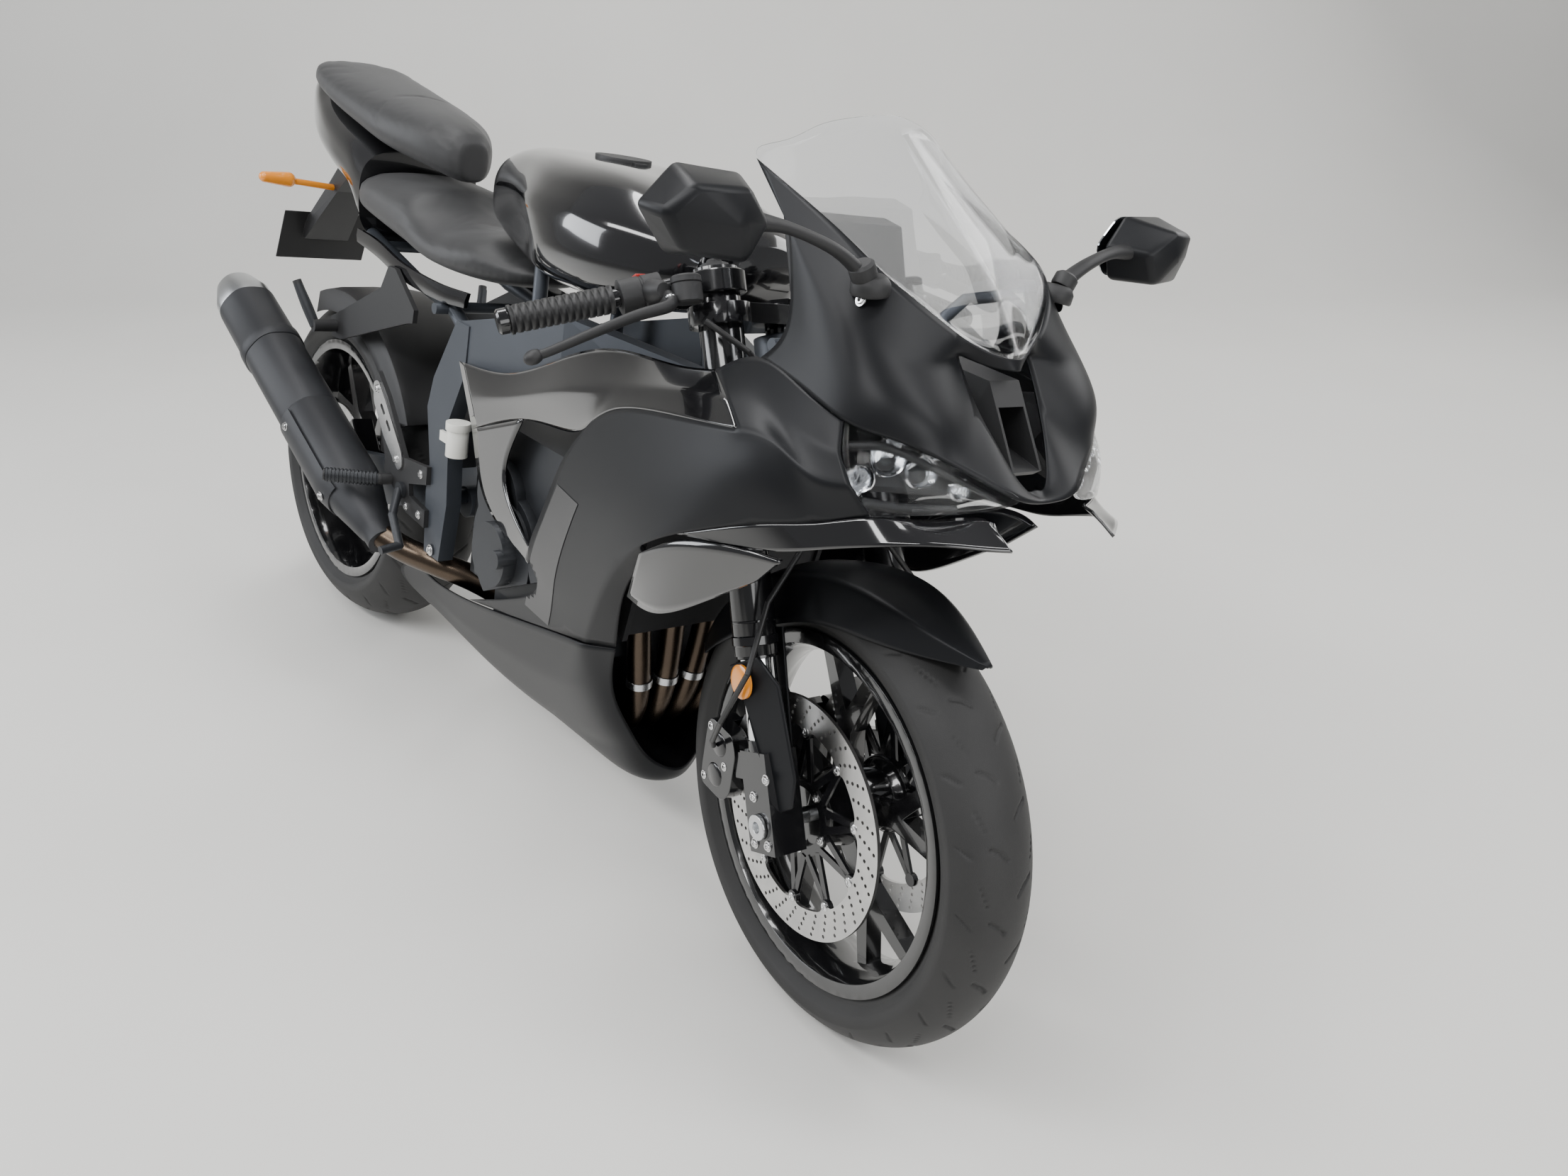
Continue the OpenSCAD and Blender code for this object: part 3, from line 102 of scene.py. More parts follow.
def material(name, colour, rough, metallic=0.0, coat=0.0, grain=0.0, grain_scale=900.0, blotch=0.12,
             blotch_scale=9.0,
             rough_spread=0.06, sheen=0.0, spec=0.5, transmission=0.0, ior=1.5, alpha=1.0, tint=None,
             stretch=(1, 1, 1), coat_rough=0.04,
             bump_distance=0.0004):
    """Principled finish with mottled colour and roughness and a fine bumped grain, all procedural."""
    mat = bpy.data.materials.new(name)
    mat.use_nodes = True
    mat.diffuse_color = (*colour, 1)
    nodes, links = mat.node_tree.nodes, mat.node_tree.links
    shader = nodes["Principled BSDF"]
    shader.inputs["Metallic"].default_value = metallic
    shader.inputs["IOR"].default_value = ior
    shader.inputs["Specular IOR Level"].default_value = spec
    shader.inputs["Coat Weight"].default_value = coat
    shader.inputs["Coat Roughness"].default_value = coat_rough
    shader.inputs["Sheen Weight"].default_value = sheen
    shader.inputs["Sheen Roughness"].default_value = 0.5
    shader.inputs["Transmission Weight"].default_value = transmission
    shader.inputs["Alpha"].default_value = alpha
    place = nodes.new("ShaderNodeTexCoord")
    mapping = nodes.new("ShaderNodeMapping")
    mapping.inputs["Scale"].default_value = stretch
    links.new(place.outputs["Object"], mapping.inputs["Vector"])
    broad = nodes.new("ShaderNodeTexNoise")
    broad.inputs["Scale"].default_value = blotch_scale
    broad.inputs["Detail"].default_value = 5
    links.new(mapping.outputs["Vector"], broad.inputs["Vector"])
    mix = nodes.new("ShaderNodeMix")
    mix.data_type = "RGBA"
    second = tint or [c * (1 + 2.2 * blotch) for c in colour]
    mix.inputs[6].default_value = (*[c * (1 - blotch) for c in colour], 1)
    mix.inputs[7].default_value = (*second, 1)
    links.new(broad.outputs["Fac"], mix.inputs[0])
    links.new(mix.outputs[2], shader.inputs["Base Color"])
    spread = nodes.new("ShaderNodeMapRange")
    spread.inputs["To Min"].default_value = max(0.0, rough - rough_spread)
    spread.inputs["To Max"].default_value = min(1.0, rough + rough_spread)
    fine = nodes.new("ShaderNodeTexNoise")
    fine.inputs["Scale"].default_value = grain_scale
    fine.inputs["Detail"].default_value = 3
    links.new(mapping.outputs["Vector"], fine.inputs["Vector"])
    links.new(fine.outputs["Fac"], spread.inputs["Value"])
    links.new(spread.outputs["Result"], shader.inputs["Roughness"])
    if grain:
        bump = nodes.new("ShaderNodeBump")
        bump.inputs["Strength"].default_value = grain
        bump.inputs["Distance"].default_value = bump_distance
        links.new(fine.outputs["Fac"], bump.inputs["Height"])
        links.new(bump.outputs["Normal"], shader.inputs["Normal"])
    return mat


def leather(name, colour):
    """Vinyl: pebbled cells with fine creases between them."""
    mat = material(name, colour, 0.52, grain=0.25, grain_scale=1500, blotch=0.25, blotch_scale=14,
                   rough_spread=0.09,
                   sheen=0.12)
    nodes, links = mat.node_tree.nodes, mat.node_tree.links
    cells = nodes.new("ShaderNodeTexVoronoi")
    cells.feature = "DISTANCE_TO_EDGE"
    cells.inputs["Scale"].default_value = 650
    place = next(n for n in nodes if n.bl_idname == "ShaderNodeTexCoord")
    links.new(place.outputs["Object"], cells.inputs["Vector"])
    old = next(n for n in nodes if n.bl_idname == "ShaderNodeBump")
    second = nodes.new("ShaderNodeBump")
    second.inputs["Strength"].default_value = 0.35
    second.inputs["Distance"].default_value = 0.0005
    links.new(cells.outputs["Distance"], second.inputs["Height"])
    links.new(old.outputs["Normal"], second.inputs["Normal"])
    links.new(second.outputs["Normal"], nodes["Principled BSDF"].inputs["Normal"])
    return mat


MATS = {
    "frame_paint": material("frame_paint", (0.055, 0.062, 0.074), 0.42, metallic=0.45, grain=0.25,
                            grain_scale=2500),
    "engine_metal": material("engine_metal", (0.026, 0.028, 0.032), 0.45, metallic=0.4, grain=0.35,
                             grain_scale=1600),
    "steel": material("steel", (0.55, 0.56, 0.57), 0.28, metallic=1.0, grain=0.12, stretch=(1, 6, 1),
                      blotch=0.1),
    "heat_steel": material("heat_steel", (0.07, 0.052, 0.04), 0.3, metallic=1.0, tint=(0.13, 0.1, 0.075),
                           grain=0.15,
                           blotch=0.3, blotch_scale=7, rough_spread=0.1),
    "silencer_black": material("silencer_black", (0.022, 0.023, 0.026), 0.5, metallic=0.35, grain=0.3,
                               grain_scale=2200),
    "radiator_black": material("radiator_black", (0.02, 0.02, 0.022), 0.55, metallic=0.6, grain=0.6,
                               grain_scale=700,
                               stretch=(1, 1, 8)),
    "gloss_black": material("gloss_black", (0.004, 0.004, 0.0048), 0.12, coat=1.0, blotch=0.2,
                            rough_spread=0.03,
                            coat_rough=0.02),
    "satin_black": material("satin_black", (0.0085, 0.009, 0.0105), 0.4, metallic=0.25, grain=0.1,
                            grain_scale=3000,
                            rough_spread=0.04, blotch=0.1, spec=0.3),
    "trim_black": material("trim_black", (0.012, 0.012, 0.0128), 0.52, grain=0.5, grain_scale=1700,
                           blotch=0.2),
    "seat_vinyl": leather("seat_vinyl", (0.014, 0.0142, 0.015)),
    "clear_screen": material("clear_screen", (0.93, 0.95, 1.0), 0.015, transmission=1.0, ior=1.12, alpha=0.55,
                             rough_spread=0.01, blotch=0.02),
    "clear_lens": material("clear_lens", (0.95, 0.97, 1.0), 0.03, transmission=1.0, ior=1.2,
                           rough_spread=0.02, alpha=0.6,
                           blotch=0.02),
    "amber_lens": material("amber_lens", (0.85, 0.24, 0.012), 0.18, tint=(0.95, 0.36, 0.03), coat=0.7,
                           grain=0.5,
                           grain_scale=900),
    "red_lens": material("red_lens", (0.42, 0.012, 0.01), 0.16, coat=0.7, grain=0.5, grain_scale=900),
    "chain_steel": material("chain_steel", (0.3, 0.27, 0.22), 0.35, metallic=1.0, tint=(0.42, 0.39, 0.33),
                            grain=0.2,
                            blotch=0.3, blotch_scale=30),
    "fork_black": material("fork_black", (0.006, 0.006, 0.007), 0.2, coat=0.6, metallic=0.2, grain=0.05,
                           blotch=0.2),
    "rim_black": material("rim_black", (0.005, 0.005, 0.0056), 0.16, coat=0.9, grain=0.04, blotch=0.2),
    "disc_steel": material("disc_steel", (0.5, 0.5, 0.5), 0.3, metallic=1.0, tint=(0.66, 0.65, 0.63),
                           grain=0.25,
                           grain_scale=1200, blotch=0.15, blotch_scale=40),
    "tyre_rubber": material("tyre_rubber", (0.012, 0.012, 0.0125), 0.62, tint=(0.026, 0.0255, 0.025),
                            grain=0.5,
                            grain_scale=1300, blotch=0.2, blotch_scale=11, rough_spread=0.12),
    "hose_rubber": material("hose_rubber", (0.009, 0.009, 0.0095), 0.42, grain=0.4, grain_scale=2000,
                            blotch=0.2),
    "white_pot": material("white_pot", (0.75, 0.75, 0.7), 0.4, grain=0.15, blotch=0.06),
    "shock_paint": material("shock_paint", (0.02, 0.02, 0.022), 0.35, metallic=0.4, grain=0.2, blotch=0.2),
    "chrome": material("chrome", (0.78, 0.79, 0.8), 0.06, metallic=1.0, rough_spread=0.03, blotch=0.04),
    "bolt_silver": material("bolt_silver", (0.6, 0.6, 0.6), 0.22, metallic=1.0, grain=0.1, blotch=0.12,
                            blotch_scale=60),
    "reflector": material("reflector", (0.85, 0.86, 0.88), 0.08, metallic=1.0, grain=0.6, grain_scale=220,
                          blotch=0.04,
                          bump_distance=0.001),
    "decal_grey": material("decal_grey", (0.062, 0.062, 0.063), 0.36, metallic=0.5, grain=0.1,
                           grain_scale=3000,
                           blotch=0.1),
    "decal_light": material("decal_light", (0.3, 0.3, 0.31), 0.34, metallic=0.6, grain=0.1, blotch=0.1),
    "red_plastic": material("red_plastic", (0.4, 0.02, 0.015), 0.35, coat=0.3, grain=0.2, blotch=0.1),
    "mirror_glass": material("mirror_glass", (0.7, 0.72, 0.75), 0.03, metallic=1.0, rough_spread=0.02,
                             blotch=0.03),
}

# ---- mesh helpers ----


def put(name, verts, faces, mats, body, place=BIKE, slot=None, face_mats=None, smooth=35.0, bevel=0.0,
        subdivide=0,
        creases=None, solid=0.0, segments=2):
    """Makes a piece from points in millimetres of a local frame."""
    mesh = bpy.data.meshes.new(name)
    mesh.from_pydata([place @ Vector(v) for v in verts], [], [list(f) for f in faces])
    mats = [mats] if isinstance(mats, str) else mats
    for m in mats:
        mesh.materials.append(MATS[m])
    if face_mats is not None:
        mesh.polygons.foreach_set("material_index", np.array(face_mats, np.int32))
    obj = bpy.data.objects.new(name, mesh)
    bpy.context.scene.collection.objects.link(obj)
    work = bmesh.new()
    work.from_mesh(mesh)
    if not subdivide and not solid and all(len(e.link_faces) == 2 for e in work.edges):
        bmesh.ops.recalc_face_normals(work, faces=work.faces)
    limit = math.radians(smooth)
    for face in work.faces:
        face.smooth = True
    if not subdivide:
        for edge in work.edges:
            if len(edge.link_faces) == 2 and edge.calc_face_angle(0) > limit:
                edge.smooth = False
    if creases:
        layer = work.edges.layers.float.get("crease_edge") or work.edges.layers.float.new("crease_edge")
        work.verts.ensure_lookup_table()
        for (a, b), weight in creases.items():
            edge = work.edges.get((work.verts[a], work.verts[b]))
            if edge:
                edge[layer] = weight
    work.to_mesh(mesh)
    work.free()
    if subdivide:
        mod = obj.modifiers.new("smooth", "SUBSURF")
        mod.levels = mod.render_levels = subdivide
        mod.boundary_smooth = "PRESERVE_CORNERS"
    if solid:
        mod = obj.modifiers.new("thick", "SOLIDIFY")
        mod.thickness = solid * 0.001
        mod.offset = -1
        mod.use_even_offset = False
    if bevel:
        mod = obj.modifiers.new("edges", "BEVEL")
        mod.width = bevel * 0.001
        mod.segments = segments
        mod.limit_method = "ANGLE"
        mod.angle_limit = math.radians(40)
        mod.harden_normals = False
    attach(obj, body)
    return obj


class Kit:
    """Collects simple shapes of one piece, each with one of the piece's materials."""

    def __init__(self):
        self.verts, self.faces, self.mats = [], [], []

    def add(self, verts, faces, mat=0, matrix=None):
        start = len(self.verts)
        self.verts += [tuple(matrix @ Vector(v)) if matrix else tuple(v) for v in verts]
        self.faces += [[i + start for i in f] for f in faces]
        self.mats += [mat] * len(faces)
        return self

    def turned(self, a, b, profile, n=32, mat=0, phase=0.0):
        """Solid of revolution about the line from a to b; profile of (distance from a, radius)."""
        a, b = Vector(a), Vector(b)
        q = (b - a).to_track_quat("Z", "Y").to_matrix()
        verts, faces = [], []
        for t, r in profile:
            for k in range(n):
                w = 2 * math.pi * k / n + phase
                verts.append(a + q @ Vector((r * math.cos(w), r * math.sin(w), t)))
        m = len(profile)
        for i in range(m - 1):
            for k in range(n):
                j = (k + 1) % n
                faces.append([i * n + k, i * n + j, (i + 1) * n + j, (i + 1) * n + k])
        faces.append([k for k in range(n - 1, -1, -1)])
        faces.append([(m - 1) * n + k for k in range(n)])
        return self.add(verts, faces, mat)

    def rod(self, a, b, r, r2=None, n=24, mat=0, chamfer=0.6):
        r2 = r if r2 is None else r2
        d = (Vector(b) - Vector(a)).length
        c = min(chamfer, d / 4, r / 3, r2 / 3)
        return self.turned(a, b, [(0, r - c), (c, r), (d - c, r2), (d, r2 - c)], n, mat)

    def bolt(self, at, axis, r=7.0, high=5.0, mat=0):
        """Socket-head bolt on a washer; axis points out of the surface."""
        axis = Vector(axis).normalized()
        at = Vector(at)
        self.turned(at, at + axis, [(0, r * 1.35), (1.2, r * 1.35), (1.4, r), (high - 1, r), (high, r * 0.85),
                                    (high, r * 0.5), (high - 2.4, r * 0.5), (high - 2.4, r * 0.02)], 18, mat)
        return self

    def sweep(self, path, radius, n=14, mat=0, steps=8, flat=1.0):
        """Tube along a smooth line through the points; radius is a number or one per point."""
        pts = np.array(path, float)
        rad = np.full(len(pts), float(radius)) if np.isscalar(radius) else np.array(radius, float)
        line = curve(np.column_stack([pts, rad]), steps)
        verts, faces = [], []
        tangents = np.gradient(line[:, :3], axis=0)
        normal = Vector((0.1, 0.2, 1)).cross(Vector(tangents[0])).normalized()
        for p, t in zip(line, tangents):
            t = Vector(t).normalized()
            normal = (normal - t * normal.dot(t)).normalized()
            side = t.cross(normal)
            for k in range(n):
                w = 2 * math.pi * k / n
                verts.append(Vector(p[:3]) + (normal * math.cos(w) + side * (flat * math.sin(w))) * float(p[3]))
        m = len(line)
        for i in range(m - 1):
            for k in range(n):
                j = (k + 1) % n
                faces.append([i * n + k, i * n + j, (i + 1) * n + j, (i + 1) * n + k])
        faces.append([k for k in range(n - 1, -1, -1)])
        faces.append([(m - 1) * n + k for k in range(n)])
        return self.add(verts, faces, mat)

    def slab(self, outline, y0, y1, mat=0, holes=(), matrix=None):
        """Plate in the X-Z plane between y0 and y1, with holes."""
        verts, faces = cut_sheet(outline, holes)
        n = len(verts)
        low, high = min(y0, y1), max(y0, y1)
        both = [(x, low, z) for x, z in verts] + [(x, high, z) for x, z in verts]
        tris = [f[::-1] for f in faces]
        quads = []
        count = {}
        for f in faces:
            for a, b in zip(f, f[1:] + f[:1]):
                count[(a, b)] = True
        for (a, b) in count:
            if (b, a) not in count:
                quads.append([a, b, b + n, a + n])
        # faces wind so that the side at high y looks to +y
        area = sum((verts[f[1]][0] - verts[f[0]][0]) * (verts[f[2]][1] - verts[f[0]][1])
                   - (verts[f[2]][0] - verts[f[0]][0]) * (verts[f[1]][1] - verts[f[0]][1]) for f in faces)
        top = [[i + n for i in f] for f in faces]
        if area > 0:
            tris, top, quads = [f[::-1] for f in tris], [f[::-1] for f in top], [q for q in quads]
        else:
            quads = [q[::-1] for q in quads]
        return self.add(both, tris + top + quads, mat, matrix)

    def done(self, name, mats, body, place=BIKE, slot=None, **more):
        return put(name, self.verts, self.faces, mats, body, place, slot, face_mats=self.mats, **more)


def curve(points, steps):
    """Catmull-Rom line through rows of numbers."""
    p = np.asarray(points, float)
    ext = np.vstack([2 * p[0] - p[1], p, 2 * p[-1] - p[-2]])
    out = []
    for i in range(len(p) - 1):
        a, b, c, d = ext[i:i + 4]
        for k in range(steps):
            t = k / steps
            out.append(0.5 * (2 * b + (c - a) * t + (2 * a - 5 * b + 4 * c - d) * t * t
                              + (3 * b - a - 3 * c + d) * t ** 3))
    out.append(p[-1])
    return np.array(out)


def cut_sheet(outline, holes=()):
    """Triangles of a flat outline with holes, as 2-D points and faces."""
    data = bpy.data.curves.new("cut", "CURVE")
    data.dimensions, data.fill_mode = "2D", "BOTH"
    for loop in [outline, *holes]:
        spline = data.splines.new("POLY")
        spline.points.add(len(loop) - 1)
        for point, (x, z) in zip(spline.points, loop):
            point.co = (x * 0.01, z * 0.01, 0, 1)
        spline.use_cyclic_u = True
    obj = bpy.data.objects.new("cut", data)
    bpy.context.scene.collection.objects.link(obj)
    bpy.context.view_layer.update()
    mesh = obj.evaluated_get(bpy.context.evaluated_depsgraph_get()).to_mesh()
    verts = [(v.co.x * 100, v.co.y * 100) for v in mesh.vertices]
    faces = [list(p.vertices) for p in mesh.polygons]
    obj.to_mesh_clear()
    bpy.data.objects.remove(obj)
    # join the points that the fill left double
    seen, index, joined = {}, [], []
    for x, z in verts:
        key = (round(x, 2), round(z, 2))
        if key not in seen:
            seen[key] = len(joined)
            joined.append((x, z))
        index.append(seen[key])
    faces = [[index[i] for i in f] for f in faces]
    return joined, [f for f in faces if len(set(f)) == len(f)]


def circle(cx, cz, r, n=20, phase=0.0):
    return [(cx + r * math.cos(2 * math.pi * k / n + phase), cz + r * math.sin(2 * math.pi * k / n + phase))
            for k in range(n)]


def rounded(outline, r=6.0, n=4):
    """Outline with its corners rounded."""
    out = []
    m = len(outline)
    for i in range(m):
        p, a, b = (Vector(outline[i]), Vector(outline[i - 1]), Vector(outline[(i + 1) % m]))
        u, v = a - p, b - p
        k = min(r, u.length * 0.45, v.length * 0.45)
        s, e = p + u.normalized() * k, p + v.normalized() * k
        for j in range(n + 1):
            t = j / n
            q = s * (1 - t) ** 2 + p * 2 * t * (1 - t) + e * t * t
            out.append((q.x, q.y))
    return out


def flip(points):
    return [(x, -y, z) for x, y, z in points]

# ---- body panels, drawn through the same lines as the CAD skins ----
SCREEN_EDGE = [(1220, 150, 1045), (1360, 144, 996), (1420, 130, 964), (1452, 100, 940), (1476, 66, 917),
               (1495, 32, 901), (1508, 0, 898)]
SCREEN_MID = [(1290, 146, 1022), (1345, 125, 1017), (1385, 98, 1000), (1412, 68, 990), (1430, 34, 984), (1435,
    0, 982)]
SCREEN_TOP = [(1220, 150, 1045), (1235, 128, 1066), (1246, 98, 1086), (1256, 68, 1098), (1263, 34, 1106),
              (1265, 0, 1110)]
SHOULDER = [(1300, 160, 986), (1366, 170, 940), (1432, 168, 914), (1474, 146, 894), (1490, 104, 885)]
CHEEK = [(1336, 171, 897), (1402, 184, 878), (1471, 184, 862), (1514, 156, 849), (1537, 110, 834)]
HEM = [(1255, 190, 822), (1312, 180, 851), (1394, 190, 841), (1465, 190, 825)]
LAMP_TOP = [(1505, 163, 818), (1537, 126, 806), (1562, 86, 790), (1586, 44, 773)]
MOUTH = [(1475, 55, 893), (1508, 50, 849), (1537, 38, 815), (1565, 18, 777)]
MOUTH_TOP = [(1496, 22, 885), (1512, 0, 886)]
NOSE, MOUTH_LIP = (1585, 0, 768), (1567, 0, 776)
LAMP_REAR = [(1480, 200, 796), (1504, 200, 769), (1516, 180, 742)]
LAMP_MID = [(1525, 172, 790), (1552, 124, 780)]
LAMP_LOW = [(1548, 142, 752), (1570, 92, 758)]
SIDE_A = [(1044, 204, 702), (994, 203, 647), (962, 202, 588), (932, 200, 522), (911, 195, 466), (912, 180,
    414)]
SIDE_B = [(1113, 215, 738), (1096, 221, 675), (1085, 226, 613), (1065, 222, 549), (1035, 208, 477), (1009,
    182, 391)]
SIDE_C = [(1210, 227, 762), (1204, 238, 702), (1198, 246, 643), (1187, 240, 570), (1127, 220, 500), (1054,
    184, 401)]
SIDE_D = [(1293, 236, 777), (1289, 246, 726), (1280, 252, 677), (1241, 250, 616)]
SIDE_E = [(1367, 241, 790), (1363, 248, 747), (1350, 251, 707), (1307, 253, 654)]
SIDE_LOW = [(653, 138, 292), (847, 164, 346)]
TURN_IN = [(1238, 232, 598), (1189, 218, 553), (1145, 198, 494), (1094, 162, 408)]
BROW = (1320, 221, 808)
CHEEK_IN = [(1355, 206, 819), (1411, 228, 797), (1424, 240, 760), (1463, 222, 763), (1440, 212, 801)]
CHIN = [(1404, 234, 698), (1468, 206, 720)]
COVER_TOP = [(591, 152, 662), (763, 164, 688), (926, 177, 754), (1046, 178, 793), (1152, 174, 802), (1255,
    190, 822)]
COVER_MID = [(634, 158, 614), (803, 172, 662), (945, 194, 714), (1090, 206, 757), (1225, 214, 794), BROW]
COVER_LOW = [(658, 158, 575), (823, 170, 639), (970, 186, 664)]
BLADE_OUT = [COVER_LOW[0], (678, 158, 528), (714, 160, 484), (791, 168, 459), (887, 180, 449)]
BLADE_IN = [COVER_LOW[1], (777, 164, 565), (787, 165, 519), (835, 172, 490), (892, 182, 473)]
WING_LOW = [(1352, 244, 662), (1427, 224, 676), (1483, 204, 697), (1535, 184, 717), (1579, 150, 732), (1609,
    108, 734),
            (1624, 84, 735)]
WING_TOP = [SIDE_E[3], CHIN[0], CHIN[1], LAMP_REAR[2], (1547, 138, 745), (1572, 90, 753), (1591, 84, 752)]
BELLY_TOP = [(453, 100, 245), SIDE_LOW[0], SIDE_LOW[1], SIDE_B[5], SIDE_C[5], TURN_IN[3]]
BELLY_MID = [(446, 94, 214), (588, 112, 220), (765, 128, 250), (925, 140, 279), (1032, 164, 329), (1064, 140,
    350)]
BELLY_LOW = [(422, 80, 178), (550, 78, 165), (662, 76, 156), (820, 74, 159), (1018, 132, 263), (1051, 116,
    296)]
BELLY_FLOOR = [(430, 0, 150), (560, 0, 136), (660, 0, 131), (850, 0, 130), (1000, 0, 132)]
BELLY_FRONT = [(1019, 92, 202), (1050, 84, 244), (1032, 52, 145), (1050, 42, 191)]
BELLY_NOSE = [(985, 62, 150), (1058, 0, 146), (1068, 0, 176)]
BELLY_TAIL = [(280, 78, 190), (381, 96, 257)]
POD_UP = [(1237, 246, 610), (1304, 246, 650), (1384, 232, 670), (1434, 210, 671)]
POD_LOW = [(1183, 216, 532), (1249, 218, 537), (1327, 212, 585), (1397, 206, 635)]
LENS_CORNERS = [(1248, 243, 605), (1311, 243, 643), (1396, 223, 646), (1262, 228, 556)]
NOSE_SHIFT = (3.8, 0, 0)


def strip(a, b):
    return [[a[i], a[i + 1], b[i + 1], b[i]] for i in range(len(a) - 1)]


def evaluated(obj):
    """World-space points and faces of a piece with its modifiers."""
    bpy.context.view_layer.update()
    mesh = obj.evaluated_get(bpy.context.evaluated_depsgraph_get()).to_mesh()
    co = np.zeros(len(mesh.vertices) * 3)
    mesh.vertices.foreach_get("co", co)
    co = co.reshape(-1, 3)
    faces = [list(p.vertices) for p in mesh.polygons]
    obj.evaluated_get(bpy.context.evaluated_depsgraph_get()).to_mesh_clear()
    return co, faces


def open_verts(obj):
    """Which points of a sheet lie on its border."""
    count = {}
    for p in obj.data.polygons:
        for e in p.edge_keys:
            count[e] = count.get(e, 0) + 1
    out = np.zeros(len(obj.data.vertices), bool)
    for (a, b), n in count.items():
        if n == 1:
            out[a] = out[b] = True
    return out


def panel(name, faces, push, mats, slot, nodes=(), sharp=(), weight=0.8, levels=3, shift=(0, 0, 0), thick=2.6,
          body="chassis", place=BIKE, face_mats=None, mirror=True, inner=0.15):
    """Smooth sheet through the corner points of faces, the same on both sides, with the sharp lines creased."""
    points, index = [], {}

    def key(p):
        p = tuple(float(v) for v in p)
        if p not in index:
            index[p] = len(points)
            points.append(p)
        return index[p]

    quads, kinds = [], []
    push = Vector(push)
    for i, f in enumerate(faces):
        f = [tuple(p) for p in f]
        a, b, c = Vector(f[0]), Vector(f[1]), Vector(f[2])
        facing = (c - a).cross(Vector(f[3]) - b) if len(f) == 4 else (b - a).cross(c - a)
        if facing.dot(push) > 0:
            f = f[::-1]
        quads.append([key(p) for p in f])
        kinds.append(face_mats[i] if face_mats else 0)
        if mirror:
            quads.append([key(p) for p in flip(f)[::-1]])
            kinds.append(face_mats[i] if face_mats else 0)
    creases = {}
    for line in sharp:
        for a, b in zip(line, line[1:]):
            for pa, pb in ((a, b), (flip([a])[0], flip([b])[0])):
                pa, pb = tuple(map(float, pa)), tuple(map(float, pb))
                if pa in index and pb in index:
                    creases[(index[pa], index[pb])] = weight
    target = np.array(points) + np.array(shift)
    obj = put(name, target, quads, mats, body, place, slot, face_mats=kinds, subdivide=levels,
              creases=creases)
    # move the cage so that the smooth sheet passes through the drawn points
    world = np.array([place @ Vector(p) for p in target])
    cage = world.copy()
    pull = np.where(open_verts(obj), 0.9, inner)[:, None]
    for _ in range(3):
        now = evaluated(obj)[0][:len(world)]
        cage += (world - now) * pull
        obj.data.vertices.foreach_set("co", cage.astype(np.float32).ravel())
        obj.data.update()
    mod = obj.modifiers.new("thick", "SOLIDIFY")
    mod.thickness, mod.offset = thick * 0.001, -1
    for node in nodes:
        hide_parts(node)
    return obj


SIDE_PUSH, NOSE_PUSH, BELLY_PUSH = (0, -1, 0), (-1, -0.6, 0), (-0.3, -0.7, 0.7)

panel("upper_cowl_skin", strip(SCREEN_EDGE[:5], SHOULDER) + [
    [SCREEN_EDGE[4], MOUTH[0], SHOULDER[4]], [SCREEN_EDGE[4], SCREEN_EDGE[5], MOUTH_TOP[0], MOUTH[0]],
    [SCREEN_EDGE[5], SCREEN_EDGE[6], MOUTH_TOP[1], MOUTH_TOP[0]]] + strip(SHOULDER, CHEEK) + [
    [SHOULDER[4], MOUTH[0], MOUTH[1], CHEEK[4]], [CHEEK[0], CHEEK[1], HEM[2], HEM[1]],
    [CHEEK[1], CHEEK[2], HEM[3], HEM[2]], [CHEEK[2], CHEEK[3], LAMP_TOP[0], HEM[3]],
    [CHEEK[3], CHEEK[4], LAMP_TOP[1], LAMP_TOP[0]], [CHEEK[4], MOUTH[1], LAMP_TOP[2], LAMP_TOP[1]],
    [MOUTH[1], MOUTH[2], LAMP_TOP[3], LAMP_TOP[2]], [MOUTH[2], MOUTH[3], NOSE, LAMP_TOP[3]],
    [MOUTH[3], MOUTH_LIP, NOSE]], NOSE_PUSH, "satin_black", "satin_black", ["upper_cowl"],
    sharp=[SHOULDER, [SHOULDER[4], MOUTH[0]], [MOUTH[1], MOUTH[2]]], weight=0.55, shift=NOSE_SHIFT)

panel("windscreen_sheet", [
    [SCREEN_EDGE[0], SCREEN_EDGE[1], SCREEN_MID[0]], [SCREEN_EDGE[0], SCREEN_MID[0], SCREEN_MID[1],
                                                      SCREEN_TOP[1]],
    [SCREEN_EDGE[1], SCREEN_EDGE[2], SCREEN_MID[1], SCREEN_MID[0]]]
    + [[SCREEN_EDGE[i], SCREEN_EDGE[i + 1], SCREEN_MID[i], SCREEN_MID[i - 1]] for i in range(2, 6)]
    + [[SCREEN_MID[i], SCREEN_MID[i + 1], SCREEN_TOP[i + 1], SCREEN_TOP[i]] for i in range(1, 5)],
    NOSE_PUSH, "clear_screen", "clear_screen", ["windscreen"], shift=NOSE_SHIFT, thick=2.4)

panel("headlamp_lenses", [
    [HEM[3], LAMP_TOP[0], LAMP_MID[0], LAMP_REAR[0]], [LAMP_REAR[0], LAMP_MID[0], LAMP_LOW[0], LAMP_REAR[1]],
    [LAMP_REAR[1], LAMP_LOW[0], LAMP_REAR[2]], [LAMP_TOP[0], LAMP_TOP[1], LAMP_MID[1], LAMP_MID[0]],
    [LAMP_MID[0], LAMP_MID[1], LAMP_LOW[1], LAMP_LOW[0]], [LAMP_TOP[1], LAMP_TOP[2], LAMP_TOP[3],
                                                           LAMP_MID[1]],
    [LAMP_MID[1], LAMP_TOP[3], LAMP_LOW[1]]], NOSE_PUSH, "clear_lens", "clear_lens", ["headlamps"],
      shift=NOSE_SHIFT,
    thick=2.0)

